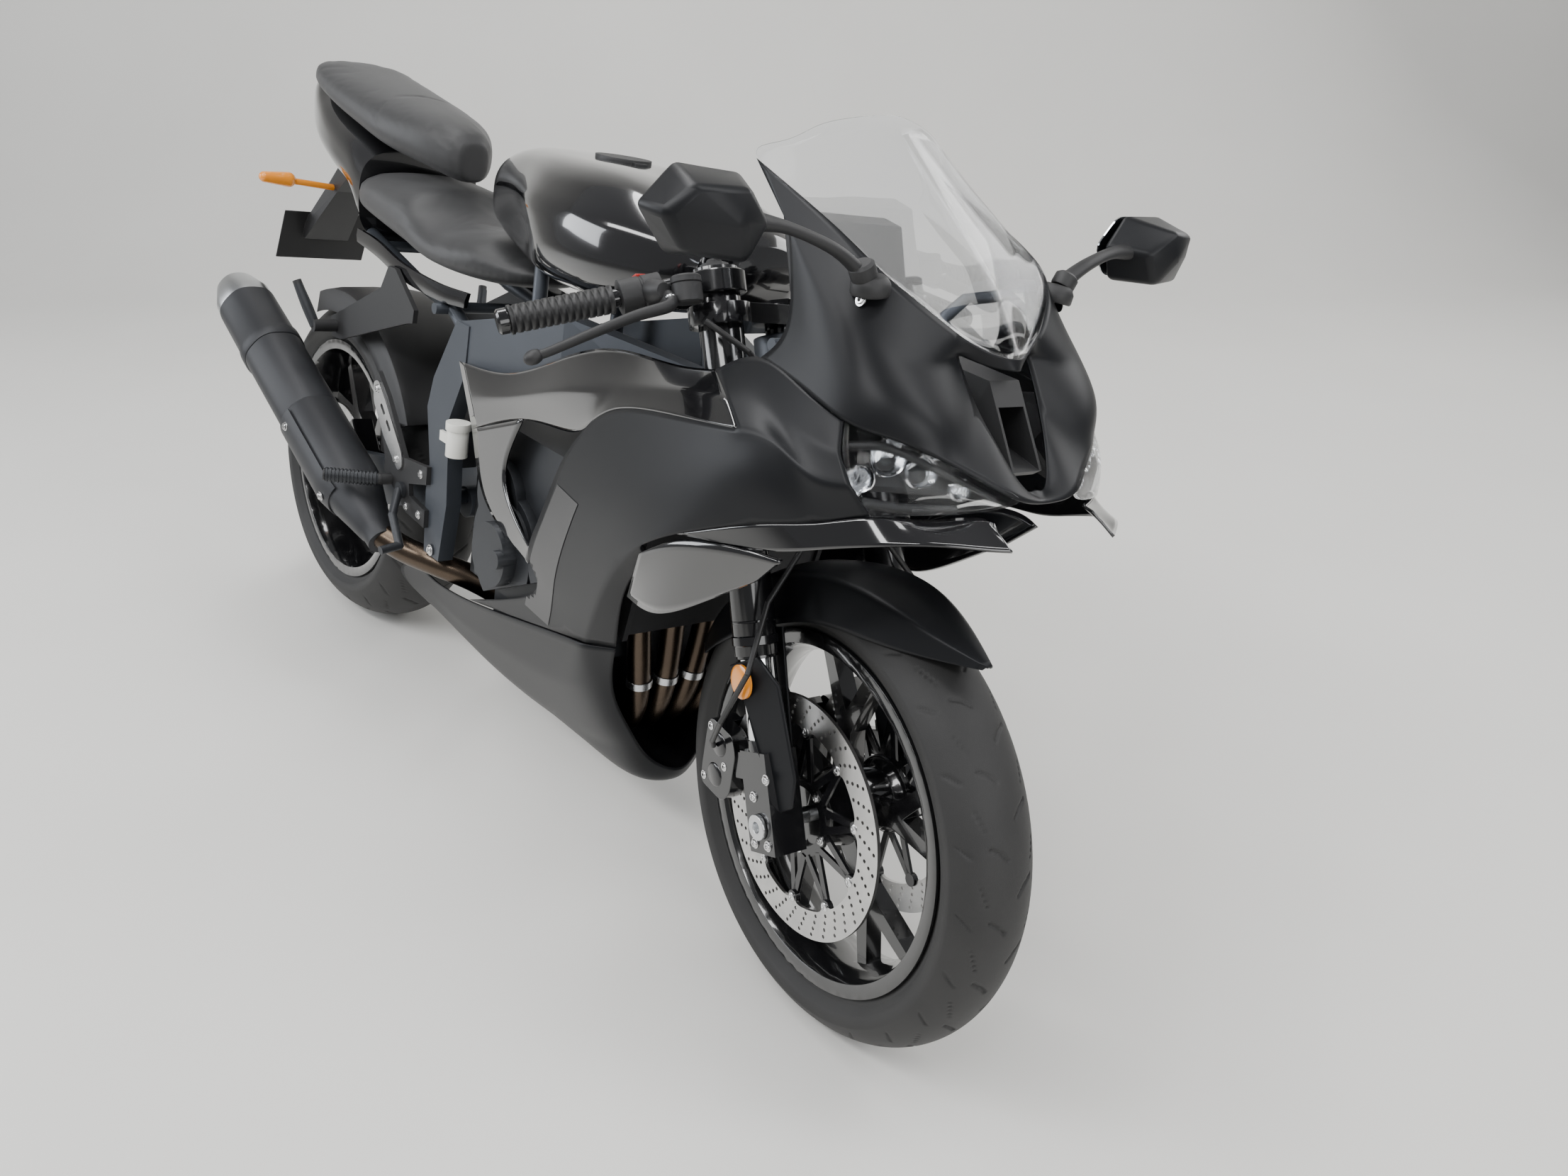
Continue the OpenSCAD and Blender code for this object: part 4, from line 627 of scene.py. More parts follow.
fairing = panel("side_fairing_skins", strip(SIDE_A, SIDE_B) + strip(SIDE_B, SIDE_C) + strip(SIDE_C[:4],
    SIDE_D)
                + strip(SIDE_D, SIDE_E) + [
    [HEM[0], HEM[1], CHEEK_IN[0], BROW], [HEM[1], HEM[2], CHEEK_IN[4], CHEEK_IN[0]],
    [HEM[2], HEM[3], LAMP_REAR[0], CHEEK_IN[4]], [BROW, CHEEK_IN[0], CHEEK_IN[1], SIDE_E[0]],
    [CHEEK_IN[0], CHEEK_IN[4], CHEEK_IN[3], CHEEK_IN[1]], [CHEEK_IN[4], LAMP_REAR[0], LAMP_REAR[1],
                                                           CHEEK_IN[3]],
    [SIDE_E[0], CHEEK_IN[1], CHEEK_IN[2], SIDE_E[1]], [CHEEK_IN[3], LAMP_REAR[1], LAMP_REAR[2], CHIN[1]],
    [CHEEK_IN[1], CHEEK_IN[3], CHIN[1], CHEEK_IN[2]], [CHEEK_IN[2], CHIN[1], CHIN[0]],
    [SIDE_E[1], CHEEK_IN[2], CHIN[0], SIDE_E[2]], [SIDE_E[2], CHIN[0], SIDE_E[3]],
    [SIDE_D[3], TURN_IN[0], TURN_IN[1], SIDE_C[3]], [SIDE_C[3], TURN_IN[1], TURN_IN[2], SIDE_C[4]],
    [SIDE_C[4], TURN_IN[2], TURN_IN[3], SIDE_C[5]], [SIDE_A[5], SIDE_B[5], SIDE_LOW[1], SIDE_LOW[0]]],
    SIDE_PUSH, "satin_black", "satin_black", ["side_fairings"],
    sharp=[[BROW, CHEEK_IN[0], CHEEK_IN[4], LAMP_REAR[0]], [SIDE_C[5], SIDE_C[4], SIDE_C[3], SIDE_D[3],
                                                            SIDE_E[3]],
           [SIDE_E[0], CHEEK_IN[1], CHEEK_IN[3], LAMP_REAR[1]]], weight=0.7)

panel("side_cover_skins", strip(COVER_TOP, COVER_MID) + [
    [COVER_MID[0], COVER_MID[1], COVER_LOW[1], COVER_LOW[0]], [COVER_MID[1], COVER_MID[2], COVER_LOW[2],
        COVER_LOW[1]],
    [COVER_MID[2], COVER_MID[3], SIDE_A[0], COVER_LOW[2]], [COVER_MID[3], SIDE_B[0], SIDE_A[0]],
    [COVER_MID[3], COVER_MID[4], SIDE_C[0], SIDE_B[0]], [COVER_MID[4], BROW, SIDE_D[0], SIDE_C[0]],
    [BROW, SIDE_E[0], SIDE_D[0]]], SIDE_PUSH, "gloss_black", "gloss_black", ["side_covers"],
    sharp=[COVER_MID], weight=0.75)

panel("air_blade_skins", strip(BLADE_OUT, BLADE_IN), SIDE_PUSH, "gloss_black", "gloss_black", ["air_blades"])

panel("winglet_skins", [[WING_TOP[i], WING_TOP[i + 1], WING_LOW[i + 1], WING_LOW[i]] for i in range(6)],
      SIDE_PUSH, "gloss_black", "gloss_black", ["winglets"], thick=3.2)

down = (0, 0, -3)
panel("belly_pan_skin", strip(BELLY_TOP, BELLY_MID) + strip(BELLY_MID, BELLY_LOW) + [
    [BELLY_LOW[3], BELLY_LOW[4], BELLY_FRONT[0]], [BELLY_LOW[4], BELLY_LOW[5], BELLY_FRONT[1],
                                                   BELLY_FRONT[0]],
    [BELLY_FRONT[0], BELLY_FRONT[1], BELLY_FRONT[3], BELLY_FRONT[2]],
    [BELLY_LOW[3], BELLY_FRONT[0], BELLY_FRONT[2], BELLY_NOSE[0]]]
    + [[BELLY_LOW[i], BELLY_LOW[i + 1], BELLY_FLOOR[i + 1], BELLY_FLOOR[i]] for i in range(3)] + [
    [BELLY_LOW[3], BELLY_NOSE[0], BELLY_FLOOR[4], BELLY_FLOOR[3]],
    [BELLY_NOSE[0], BELLY_FRONT[2], BELLY_NOSE[1], BELLY_FLOOR[4]],
    [BELLY_FRONT[2], BELLY_FRONT[3], BELLY_NOSE[2], BELLY_NOSE[1]],
    [BELLY_TAIL[1], BELLY_TOP[0], BELLY_MID[0], BELLY_TAIL[0]],
    [BELLY_TAIL[0], BELLY_MID[0], BELLY_LOW[0]]], BELLY_PUSH, "satin_black", "gloss_black", ["belly_pan"],
    sharp=[BELLY_LOW[:4] + [BELLY_FRONT[0], BELLY_FRONT[1]], BELLY_MID[:5]], weight=0.6, shift=down)

panel("indicator_pod_skins", strip(POD_UP, POD_LOW), SIDE_PUSH, "gloss_black", "trim_black",
      ["indicator_pods"],
      shift=(6, -7, -4), thick=5)


# ---- closed forms: tank, tail and seats ----


def ring(s, c, n):
    out = []
    for k in range(n):
        a = 2 * math.pi * (k + 0.5) / n
        u, v = math.cos(a), math.sin(a)
        out.append((s[0], s[1] * math.copysign(abs(u) ** (2 / c), u),
                    (s[2] + s[3]) / 2 + (s[2] - s[3]) / 2 * math.copysign(abs(v) ** (2 / c), v)))
    return out


def loft(stations, c, n=64, steps=5, shape=None, grow=0.0):
    """Points and faces of a smooth form through stations of x, half width, top and bottom."""
    rows = curve(stations, steps)
    verts, faces = [], []
    for s in rows:
        s = [s[0], max(2.0, s[1] + grow), s[2] + grow, s[3] - grow]
        verts += [shape(*p) if shape else p for p in ring(s, c, n)]
    m = len(rows)
    ahead = rows[-1][0] > rows[0][0]
    for i in range(m - 1):
        for k in range(n):
            j = (k + 1) % n
            f = [i * n + k, i * n + j, (i + 1) * n + j, (i + 1) * n + k]
            faces.append(f if not ahead else f[::-1])
    caps = [list(range(n)), [(m - 1) * n + k for k in range(n - 1, -1, -1)]]
    faces += [c2 if not ahead else c2[::-1] for c2 in caps]
    return verts, faces


TANK = [(452, 26, 905, 868), (468, 48, 936, 852), (500, 66, 962, 842), (560, 86, 980, 826), (640, 112, 988,
    814),
        (740, 145, 990, 808), (840, 156, 989, 808), (920, 150, 980, 814), (1000, 126, 962, 828), (1040, 104,
            946, 840),
        (1062, 82, 928, 852)]


def bell(t, centre, width):
    return math.exp(-((t - centre) / width) ** 2)


def tank_shape(x, y, z):
    """Knee hollows at the rear, a flat shoulder line and a dished top by the cap."""
    side = abs(y) / 156
    knee = bell(x, 640, 95) * bell(z, 868, 34)
    y *= 1 - 0.16 * knee
    crest = bell(abs(y), 92, 26) * max(0, (z - 930) / 60)
    z += 2.0 * crest - 5.0 * bell(abs(y), 0, 40) * bell(x, 890, 110) * max(0, (z - 940) / 50)
    if z > 900:
        y *= 1 - 0.05 * side * bell(z, 955, 22)
    return x, y, z


tank_verts, tank_faces = loft(TANK, 2.9, n=96, steps=6, shape=tank_shape, grow=-0.4)
tank = put("tank_skin", tank_verts, tank_faces, ["gloss_black"], "chassis", slot="gloss_black", smooth=50)
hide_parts("fuel_tank")

TAIL = [(-344, 12, 920, 908), (-290, 34, 978, 902), (-232, 62, 1012, 890), (-150, 86, 984, 870), (-60, 100,
    958, 846),
        (40, 108, 934, 816), (107.7, 112, 912, 750)]
tail_verts, tail_faces = loft(TAIL, 3.2, n=80, steps=6, grow=-0.3)
kit = Kit()
kit.add(tail_verts, tail_faces)
flank_top = [(108, 112, 775), (200, 116, 770), (300, 116, 752), (420, 112, 745), (500, 98, 745)]
flank_low = [(108, 112, 752), (200, 114, 742), (300, 114, 724), (420, 110, 718), (490, 98, 720)]
for side in (1, -1):
    top, low = curve(flank_top, 6), curve(flank_low, 6)
    n = len(top)
    verts = [(p[0], side * p[1], p[2]) for p in top] + [(p[0], side * (p[1] + 1.5),
                                                         p[2]) for p in (top + low) / 2] + \
        [(p[0], side * p[1], p[2]) for p in low] + [(p[0], side * (p[1] - 6), p[2]) for p in low] + \
        [(p[0], side * (p[1] - 6), p[2]) for p in top]
    faces = []
    for j in range(5):
        for i in range(n - 1):
            a, b = j * n + i, ((j + 1) % 5) * n + i
            faces.append([a, b, b + 1, a + 1] if side > 0 else [a, a + 1, b + 1, b])
    faces.append([j * n for j in range(5)][::side])
    faces.append([j * n + n - 1 for j in range(4, -1, -1)][::side])
    kit.add(verts, faces)
tail = kit.done("tail_skin", "gloss_black", "chassis", slot="gloss_black", smooth=40)
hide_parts("tail_cowl")

RIDER = [(108, 116, 880, 792), (150, 120, 882, 786), (215, 122, 880, 776), (285, 123, 874, 766), (330, 123,
    846, 762),
         (380, 122, 829, 758), (440, 117, 830, 756), (500, 104, 832, 758), (550, 80, 818, 764), (585, 56, 811,
             772),
         (604, 36, 804, 782)]
PILLION = [(-204, 60, 1036, 1004), (-150, 96, 1040, 978), (-60, 106, 1026, 952), (40, 104, 1012, 928),
           (130, 98, 1000, 908), (220, 76, 988, 896), (280, 48, 975, 886), (304, 28, 958, 888)]


def cushion(name, node, stations, seams, voxel=0.006, shrink=3.0, cap=0.024, floor=None):
    """Foam under vinyl: the form is swollen as cloth over its base, then the seams are pressed in."""
    verts, faces = loft(stations, 2.7, n=56, steps=5, grow=-shrink)
    if floor:
        verts = [(x, y, max(z, floor(x, y) + 0.4)) for x, y, z in verts]
    obj = put(name, verts, faces, "seat_vinyl", "chassis", slot="seat_vinyl", smooth=180)
    bpy.context.view_layer.objects.active = obj
    parent, world = obj.parent, obj.matrix_world.copy()
    remesh = obj.modifiers.new("remesh", "REMESH")
    remesh.mode, remesh.voxel_size, remesh.use_smooth_shade = "VOXEL", voxel, True
    co, mesh_faces = evaluated(obj)
    obj.modifiers.remove(remesh)
    new = bpy.data.meshes.new(name)
    new.from_pydata([tuple(c) for c in co], [], mesh_faces)
    new.materials.append(MATS["seat_vinyl"])
    obj.data = new
    rest = co.copy()
    inverse = np.array((BIKE).inverted())
    local = rest @ inverse[:3, :3].T + inverse[:3, 3]
    middle = np.interp(local[:, 0], [s[0] for s in stations], [(s[2] + s[3]) / 2 for s in stations])
    group = obj.vertex_groups.new(name="base")
    low = np.clip((middle - local[:, 2]) / 14.0, 0, 1)
    for i, w in enumerate(low):
        group.add([i], float(w), "REPLACE")
    cloth = obj.modifiers.new("cloth", "CLOTH")
    cloth.settings.use_pressure = True
    cloth.settings.uniform_pressure_force = 4.0
    cloth.settings.effector_weights.gravity = 0
    cloth.settings.vertex_group_mass = "base"
    cloth.point_cache.frame_start, cloth.point_cache.frame_end = 1, 20
    for step in range(1, 21):
        bpy.context.scene.frame_set(step)
    moved = evaluated(obj)[0]
    obj.modifiers.remove(cloth)
    bpy.context.scene.frame_set(1)
    delta = moved - rest
    size = np.linalg.norm(delta, axis=1, keepdims=True)
    delta *= np.minimum(1, cap / np.maximum(size, 1e-9))
    # the foam under the vinyl is firm, so only a part of the swell stays
    rest = rest + delta * 0.28
    local = rest @ inverse[:3, :3].T + inverse[:3, 3]
    normals = np.zeros_like(rest)
    tri = np.array([[f[0], f[1], f[2]] for f in mesh_faces])
    cross = np.cross(local[tri[:, 1]] - local[tri[:, 0]], local[tri[:, 2]] - local[tri[:, 0]])
    for k in range(3):
        np.add.at(normals, tri[:, k], cross)
    normals /= np.maximum(np.linalg.norm(normals, axis=1, keepdims=True), 1e-9)
    for line, depth, width in seams:
        line = curve(line, 8)
        for flipped in (1, -1):
            pts = line * [1, flipped, 1]
            gap = np.full(len(local), 1e9)
            for a, b in zip(pts[:-1], pts[1:]):
                d = b - a
                t = np.clip(((local - a) @ d) / (d @ d), 0, 1)
                gap = np.minimum(gap, np.linalg.norm(local - a - t[:, None] * d, axis=1))
            local = local - normals * (depth * np.exp(-(gap / width) ** 2))[:, None]
    forward = np.array(BIKE)
    final = local @ forward[:3, :3].T + forward[:3, 3]
    obj.data.vertices.foreach_set("co", final.astype(np.float32).ravel())
    obj.data.update()
    for face in obj.data.polygons:
        face.use_smooth = True
    mod = obj.modifiers.new("smooth", "SUBSURF")
    mod.levels = mod.render_levels = 1
    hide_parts(node)
    return obj


def tail_top(x, y):
    """Height of the tail's top under the passenger seat."""
    s = [np.interp(x, [t[0] for t in TAIL], [t[k] for t in TAIL]) for k in (1, 2, 3)]
    if x > TAIL[-1][0] or abs(y) > s[0]:
        return -1e9
    return (s[1] + s[2]) / 2 + (s[1] - s[2]) / 2 * (1 - (abs(y) / s[0]) ** 3) ** (1 / 3)


cushion("rider_cushion", "rider_seat", RIDER, [
    ([(112, 84, 884), (200, 92, 884), (290, 96, 868), (345, 96, 838), (420, 94, 829), (500, 84, 826), (560,
        60, 812)],
     2.2, 3.4),
    ([(150, 121, 834), (260, 126, 822), (380, 124, 796), (480, 110, 790), (560, 74, 790)], 1.5, 4.0)])
cushion("pillion_cushion", "pillion_seat", PILLION, [
    ([(-190, 44, 1038), (-100, 78, 1033), (0, 82, 1018), (110, 76, 1002), (200, 58, 990), (262, 30, 980)],
     2.0, 3.4),
    ([(96, 0, 1006), (104, 40, 1004), (110, 70, 1002), (122, 98, 955)], 2.2, 4.0)], floor=tail_top)

# ---- tyres with their tread cut in ----


def tyre_piece(name, node, place, body, r, w, rim_half, crown, slashes, phase):
    rim_r = 231.0
    rc = w * crown
    edge = math.asin(w / 2 / rc)
    shoulder = r - rc + rc * math.cos(edge)
    half_n, round_n = 30, 840
    arc = [(r - rc + rc * math.cos(edge * k / half_n), rc * math.sin(edge * k / half_n))
           for k in range(-half_n, half_n + 1)]
    wall = [(rim_r - 12.4, 9.6 - rim_half), (rim_r + 1, 5.6 - rim_half), (rim_r + 6, 2.5 - rim_half),
            (rim_r + 9, 2.9 - rim_half), ((rim_r + shoulder) / 2, -w / 2 + 2.2)]
    profile = wall + arc + [(a, -b) for a, b in wall[::-1]]
    inside = [(shoulder - 12, w / 2 - 12), (r - 12, 0), (shoulder - 12, -w / 2 + 12)]
    m = len(profile)
    prof = np.array(profile)
    angle = np.linspace(0, 2 * math.pi, round_n, endpoint=False)
    across = np.zeros(m)
    across[len(wall):len(wall) + 2 * half_n + 1] = np.linspace(-1, 1, 2 * half_n + 1)
    tread = np.zeros(m, bool)
    tread[len(wall) + 2:len(wall) + 2 * half_n - 1] = True
    radius = np.repeat(prof[:, 0][None, :], round_n, 0)
    y = np.repeat(prof[:, 1][None, :], round_n, 0)
    step = 2 * math.pi / slashes
    depth = np.zeros((round_n, m))
    for side in (1, -1):
        u = across * side
        shift = 0.5 * step if side < 0 else 0.0
        local = (angle[:, None] + shift + phase) % step - step / 2
        # short slashes on the shoulder, long kinked grooves inboard of them
        for u0, u1, a0, slant, wide in ((0.60, 0.88, -0.32, 0.34, 3.0), (0.40, 0.58, 0.12, 0.62, 2.6)):
            t = np.clip((u - u0) / (u1 - u0), 0, 1)[None, :]
            line = (a0 + slant * t) * step * 0.7
            gap = np.abs(local - line) * r
            on = ((u > u0) & (u < u1))[None, :]
            taper = np.sqrt(np.clip(4 * t * (1 - t), 0, 1))
            depth = np.maximum(depth, np.where(on, np.clip(1.6 * (wide * taper - gap) / 1.2, 0, 2.6), 0))
        kink = np.where(u < 0.22, (0.22 - u) * -1.6, (u - 0.22) * 0.9)[None, :] * step
        gap = np.abs(local - kink * 0.55 + 0.16 * step) * r * 0.8
        on = ((u > 0.07) & (u < 0.40))[None, :]
        depth = np.maximum(depth, np.where(on, np.clip(1.6 * (2.4 - gap) / 1.0, 0, 2.6), 0))
    radius = radius - depth * tread[None, :]
    ring_verts = np.stack([radius * np.cos(angle)[:, None], y, radius * np.sin(angle)[:, None]],
                          -1).reshape(-1, 3)
    inner = np.array(inside)
    k = len(inside)
    coarse = np.stack([inner[None, :, 0] * np.cos(angle)[:, None], np.repeat(inner[None, :, 1], round_n, 0),
                       inner[None, :, 0] * np.sin(angle)[:, None]], -1)
    verts = np.concatenate([ring_verts.reshape(round_n, m, 3), coarse], 1).reshape(-1, 3)
    n = m + k
    faces = []
    for i in range(round_n):
        a, b = i * n, ((i + 1) % round_n) * n
        for j in range(n):
            jj = (j + 1) % n
            faces.append((a + j, a + jj, b + jj, b + j))
    obj = put(name, verts, faces, "tyre_rubber", body, place, "tyre_rubber", smooth=180)
    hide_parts(node)
    return obj


tyre_piece("front_tyre_tread", "front_tyre", FRONT_WHEEL, "front_wheel", FRONT_R, 120.0, 50, 0.555, 22, 0.0)
tyre_piece("rear_tyre_tread", "rear_tyre", REAR_WHEEL, "rear_wheel", REAR_R, 180.0, 80, 0.555, 20, 0.1)

# ---- discs, carriers and bobbins ----


def disc_piece(name, node, place, body, r, band, hub, faces_y, thick, arms):
    plates, carriers, buttons = Kit(), Kit(), Kit()
    outer = circle(0, 0, r, 120)
    inner = []
    for k in range(120):
        a = 2 * math.pi * k / 120
        wave = math.cos(arms * a)
        inner.append(((r - band + 3 - 6 * max(0, wave) ** 3) * math.cos(a),
                      (r - band + 3 - 6 * max(0, wave) ** 3) * math.sin(a)))
    holes = []
    lines = 36 if r > 130 else 28
    for k in range(lines):
        for j in range(4):
            a = 2 * math.pi * (k + 0.22 * j) / lines
            holes.append(circle((r - 7 - 8.2 * j) * math.cos(a), (r - 7 - 8.2 * j) * math.sin(a), 2.5, 8))
    sheet_verts, sheet_faces = cut_sheet(outer, [inner] + holes)
    for y in faces_y:
        s = math.copysign(1, y)
        n = len(sheet_verts)
        verts = [(x, y - thick / 2, z) for x, z in sheet_verts] + [(x, y + thick / 2, z) for x,
            z in sheet_verts]
        used = {}
        for f in sheet_faces:
            for a, b in zip(f, f[1:] + f[:1]):
                used[(a, b)] = True
        quads = [[a, b, b + n, a + n] for (a, b) in used if (b, a) not in used]
        plates.add(verts, [f for f in sheet_faces] + [[i + n for i in f[::-1]] for f in sheet_faces]
                   + [q[::-1] for q in quads])
        for k in range(arms):
            a = 2 * math.pi * k / arms
            c, t = math.cos(a), math.sin(a)
            reach = r - band - 2
            for lean in (-1, 1):
                b = a + lean * math.pi / arms * 0.8
                p, q = (hub * math.cos(b), hub * math.sin(b)), (reach * c, reach * t)
                d = Vector((q[0] - p[0], q[1] - p[1])).normalized() * 4.5
                d = Vector((-d.y, d.x))
                carriers.slab([(p[0] + d.x, p[1] + d.y), (p[0] - d.x, p[1] - d.y), (q[0] - d.x, q[1] - d.y),
                               (q[0] + d.x, q[1] + d.y)], y - s * 5.4, y - s * 1.2)
            carriers.slab(circle(reach * c, reach * t, 9, 14), y - s * 5.6, y + s * (thick / 2 - 0.6))
            buttons.turned((reach * c, y - s * thick / 2, reach * t), (reach * c, y + s * (thick / 2 + 1.4),
                reach * t),
                           [(0, 6.0), (thick + 0.6, 6.0), (thick + 1.4, 5.0), (thick + 1.4, 3.0),
                            (thick + 0.2, 2.6)], 16)
        carriers.slab(circle(0, 0, hub + 1, 60), y - s * 8.2, y - s * 2.6, holes=[circle(0, 0, hub - 12, 48)])
        for k in range(5):
            a = 2 * math.pi * (k + 0.5) / 5
            buttons.bolt(((hub - 6) * math.cos(a), y - s * 2.7, (hub - 6) * math.sin(a)), (0, s, 0), 4.6, 4)
    plate_obj = plates.done(name, "disc_steel", body, place, "disc_steel", smooth=30)
    carriers.done(name + "_carriers", "fork_black", body, place, "fork_black", bevel=0.5, smooth=30)
    buttons.done(name + "_buttons", "bolt_silver", body, place, smooth=40)
    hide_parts(node)


disc_piece("front_disc_plates", "front_discs", FRONT_WHEEL, "front_wheel", 155, 40, 50, (69, -69), 4.6, 10)

# ---- front mudguard ----
GUARD_ROWS = [(56, 346, 346, 4, 340, 8), (68, 334, 324, 34, 290, 46), (82, 326, 318, 48, 268, 67),
              (100, 320, 308, 52, 252, 70), (118, 318, 304, 54, 238, 76), (136, 316, 302, 54, 244, 72),
              (150, 314, 302, 54, 262, 69), (160, 312, 304, 48, 284, 58)]


def spun(a, r, y):
    return (r * math.cos(math.radians(a)), y, r * math.sin(math.radians(a)))


crown_line = [spun(g[0], g[1], 0) for g in GUARD_ROWS]
side_line = [spun(g[0], g[2], g[3]) for g in GUARD_ROWS]
edge_line = [spun(g[0], g[4], g[5]) for g in GUARD_ROWS]
guard_faces = []
for a, b in ((crown_line, side_line), (side_line, edge_line)):
    for f in strip(a, b):
        guard_faces.append(f)


def guard_panel():
    points, index, quads = [], {}, []

    def key(p):
        if p not in index:
            index[p] = len(points)
            points.append(p)
        return index[p]
    for f in guard_faces:
        quads.append([key(p) for p in f])
        quads.append([key(p) for p in flip(f)[::-1]])
    # wind every face so that it looks away from the axle
    out = []
    for q in quads:
        a, b, c = (Vector(points[i]) for i in q[:3])
        n = (b - a).cross(c - a)
        out.append(q if n.dot(Vector((a.x, a.y * 0.3, a.z))) > 0 else q[::-1])
    creases = {}
    for line in (side_line, [(x, -y, z) for x, y, z in side_line]):
        for a, b in zip(line, line[1:]):
            creases[(index[a], index[b])] = 0.7
    obj = put("mudguard_skin", points, out, "satin_black", "steering", GUARD, "satin_black", subdivide=3,
              creases=creases)
    mod = obj.modifiers.new("thick", "SOLIDIFY")
    mod.thickness, mod.offset = 0.0028, -1
    return obj


guard_obj = guard_panel()
kit = Kit()
for s in (1, -1):
    # the struts that hold it to the fork castings
    kit.add([(FORK_X - 26, s * 74.5, 236), (FORK_X + 20, s * 74.5, 236), (FORK_X + 16, s * 80, 40),
             (FORK_X - 18, s * 80, 40), (FORK_X - 26, s * 78.5, 236), (FORK_X + 20, s * 78.5, 236),
             (FORK_X + 16, s * 82, 40), (FORK_X - 18, s * 82, 40)],
            [[0, 1, 2, 3], [7, 6, 5, 4], [0, 4, 5, 1], [1, 5, 6, 2], [2, 6, 7, 3], [3, 7, 4, 0]])
kit.done("mudguard_struts", "satin_black", "steering", FORK, "satin_black", bevel=1.0)
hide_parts("front_mudguard")
# broad blade over each fork leg, as the guard carries on its outer sides
kit = Kit()
for s in (1, -1):
    outer = [(-28, 130, 196), (34, 128, 208), (58, 118, 172), (62, 112, 60), (48, 112, 24), (24, 116, 16),
             (18, 126, 60),
             (6, 134, 150)]
    verts = [(FORK_X + x, s * y, z) for x, y, z in outer] + [(FORK_X + x, s * (y - 5), z) for x, y,
        z in outer]
    n = len(outer)
    faces = [list(range(n)), [n + k for k in range(n - 1, -1, -1)]] + \
        [[k, n + k, n + (k + 1) % n, (k + 1) % n] for k in range(n)]
    kit.add(verts, faces if s < 0 else [f[::-1] for f in faces])
kit.done("fork_shields", "satin_black", "steering", FORK, "satin_black", bevel=2.2)

# ---- fork details ----
kit, amber, silver = Kit(), Kit(), Kit()
for s in (1, -1):
    c = Vector((FORK_X, s * FORK_Y, 0))
    kit.turned(c + Vector((0, 0, 104)), c + Vector((0, 0, 208)), [(0, 21.9), (104, 21.9)], 48, 1)
    for low, high, r in ((203, 218, 25.5), (219, 231, 28.6), (246, 250, 27.6), (320, 326, 27.8)):
        kit.turned(c + Vector((0, 0, low)), c + Vector((0, 0, high)),
                   [(0, r - 1), (1, r), (high - low - 1, r), (high - low, r - 1)], 48, 0)
    kit.turned(c + Vector((0, 0, 660)), c + Vector((0, 0, 674)), [(0, 22), (9, 22), (10, 18), (14, 17)], 6, 2)
    kit.turned(c + Vector((0, 0, 674)), c + Vector((0, 0, 679)), [(0, 9), (4, 9), (5, 8)], 24, 2)
    amber.turned((FORK_X + 6, s * 133.4, 178), (FORK_X + 6, s * 139.4, 178),
                 [(0, 1), (0, 21), (3.5, 21), (6, 16), (6, 1)], 36, 0)
    for z, x, r in ((60, 26, 5), (36, -6, 5), (-22, 14, 5), (-22, -14, 5)):
        silver.bolt((FORK_X + x, s * 128, z), (0, s, 0), r, 3.6)
kit.done("fork_trim", ["fork_black", "chrome", "trim_black"], "steering", FORK, "fork_black", smooth=30)
amber.done("fork_reflectors", "amber_lens", "steering", FORK, "amber_lens", smooth=50)
silver.done("fork_bolts", "bolt_silver", "steering", FORK, smooth=40)

# ---- front calipers ----
kit, bits = Kit(), Kit()
tip = FORK @ Matrix.Translation((FORK_X, 0, 0)) @ turn(26, "Y")
for s in (1, -1):
    body_line = rounded([(-174, -50), (-122, -50), (-108, -30), (-108, 30), (-122, 50), (-174, 50), (-178,
        30),
                         (-178, -30)], 9, 3)
    kit.slab(body_line, s * 78, s * 101)
    kit.slab(rounded([(-172, -44), (-130, -44), (-118, -24), (-118, 24), (-130, 44), (-172, 44)], 8, 3),
             s * 44, s * 60)
    kit.slab([(-178, -44), (-161.5, -44), (-161.5, 44), (-178, 44)], s * 58, s * 79)
    for x, z in ((-146, -23), (-146, 23)):
        kit.turned((x, s * 100, z), (x, s * 103, z), [(0, 17), (1.4, 16.4), (3, 14)], 32)
    for x, z in ((-170, -38), (-170, 38), (-128, 0)):
        bits.bolt((x, s * 100.4, z), (0, s, 0), 4.4, 2.4)
caliper = kit.done("front_caliper_bodies", "fork_black", "steering", tip, "fork_black", bevel=2.0)
bits.done("caliper_bolts", "bolt_silver", "steering", tip)
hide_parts("front_calipers")

# ---- mirrors ----
kit = Kit()
for s in (1, -1):
    def side(p):
        return (p[0], s * p[1], p[2])
    front = [(1436, 296, 1004), (1445, 330, 1034), (1432, 382, 1030), (1419, 402, 1004), (1424, 380, 972),
             (1440, 318, 968)]
    back = [(1388, 268, 1004), (1384, 298, 1042), (1380, 372, 1046), (1378, 407, 1006), (1380, 372, 964),
            (1386, 290, 964)]
    peak = (1452, 336, 1002)
    verts = [side(p) for p in front + back] + [side(peak)]
    faces = []
    for k in range(6):
        j = (k + 1) % 6
        faces.append([k, j, 12])
        faces.append([6 + k, 6 + j, j, k])
    faces.append([11, 10, 9, 8, 7, 6])
    kit.add(verts, [f[::-1] for f in faces] if s > 0 else faces)
mirror_shell = kit.done("mirror_shells", "satin_black", "chassis", BIKE, "satin_black", bevel=7.0, segments=4,
                        smooth=60)
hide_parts("mirrors")
kit, glass = Kit(), Kit()
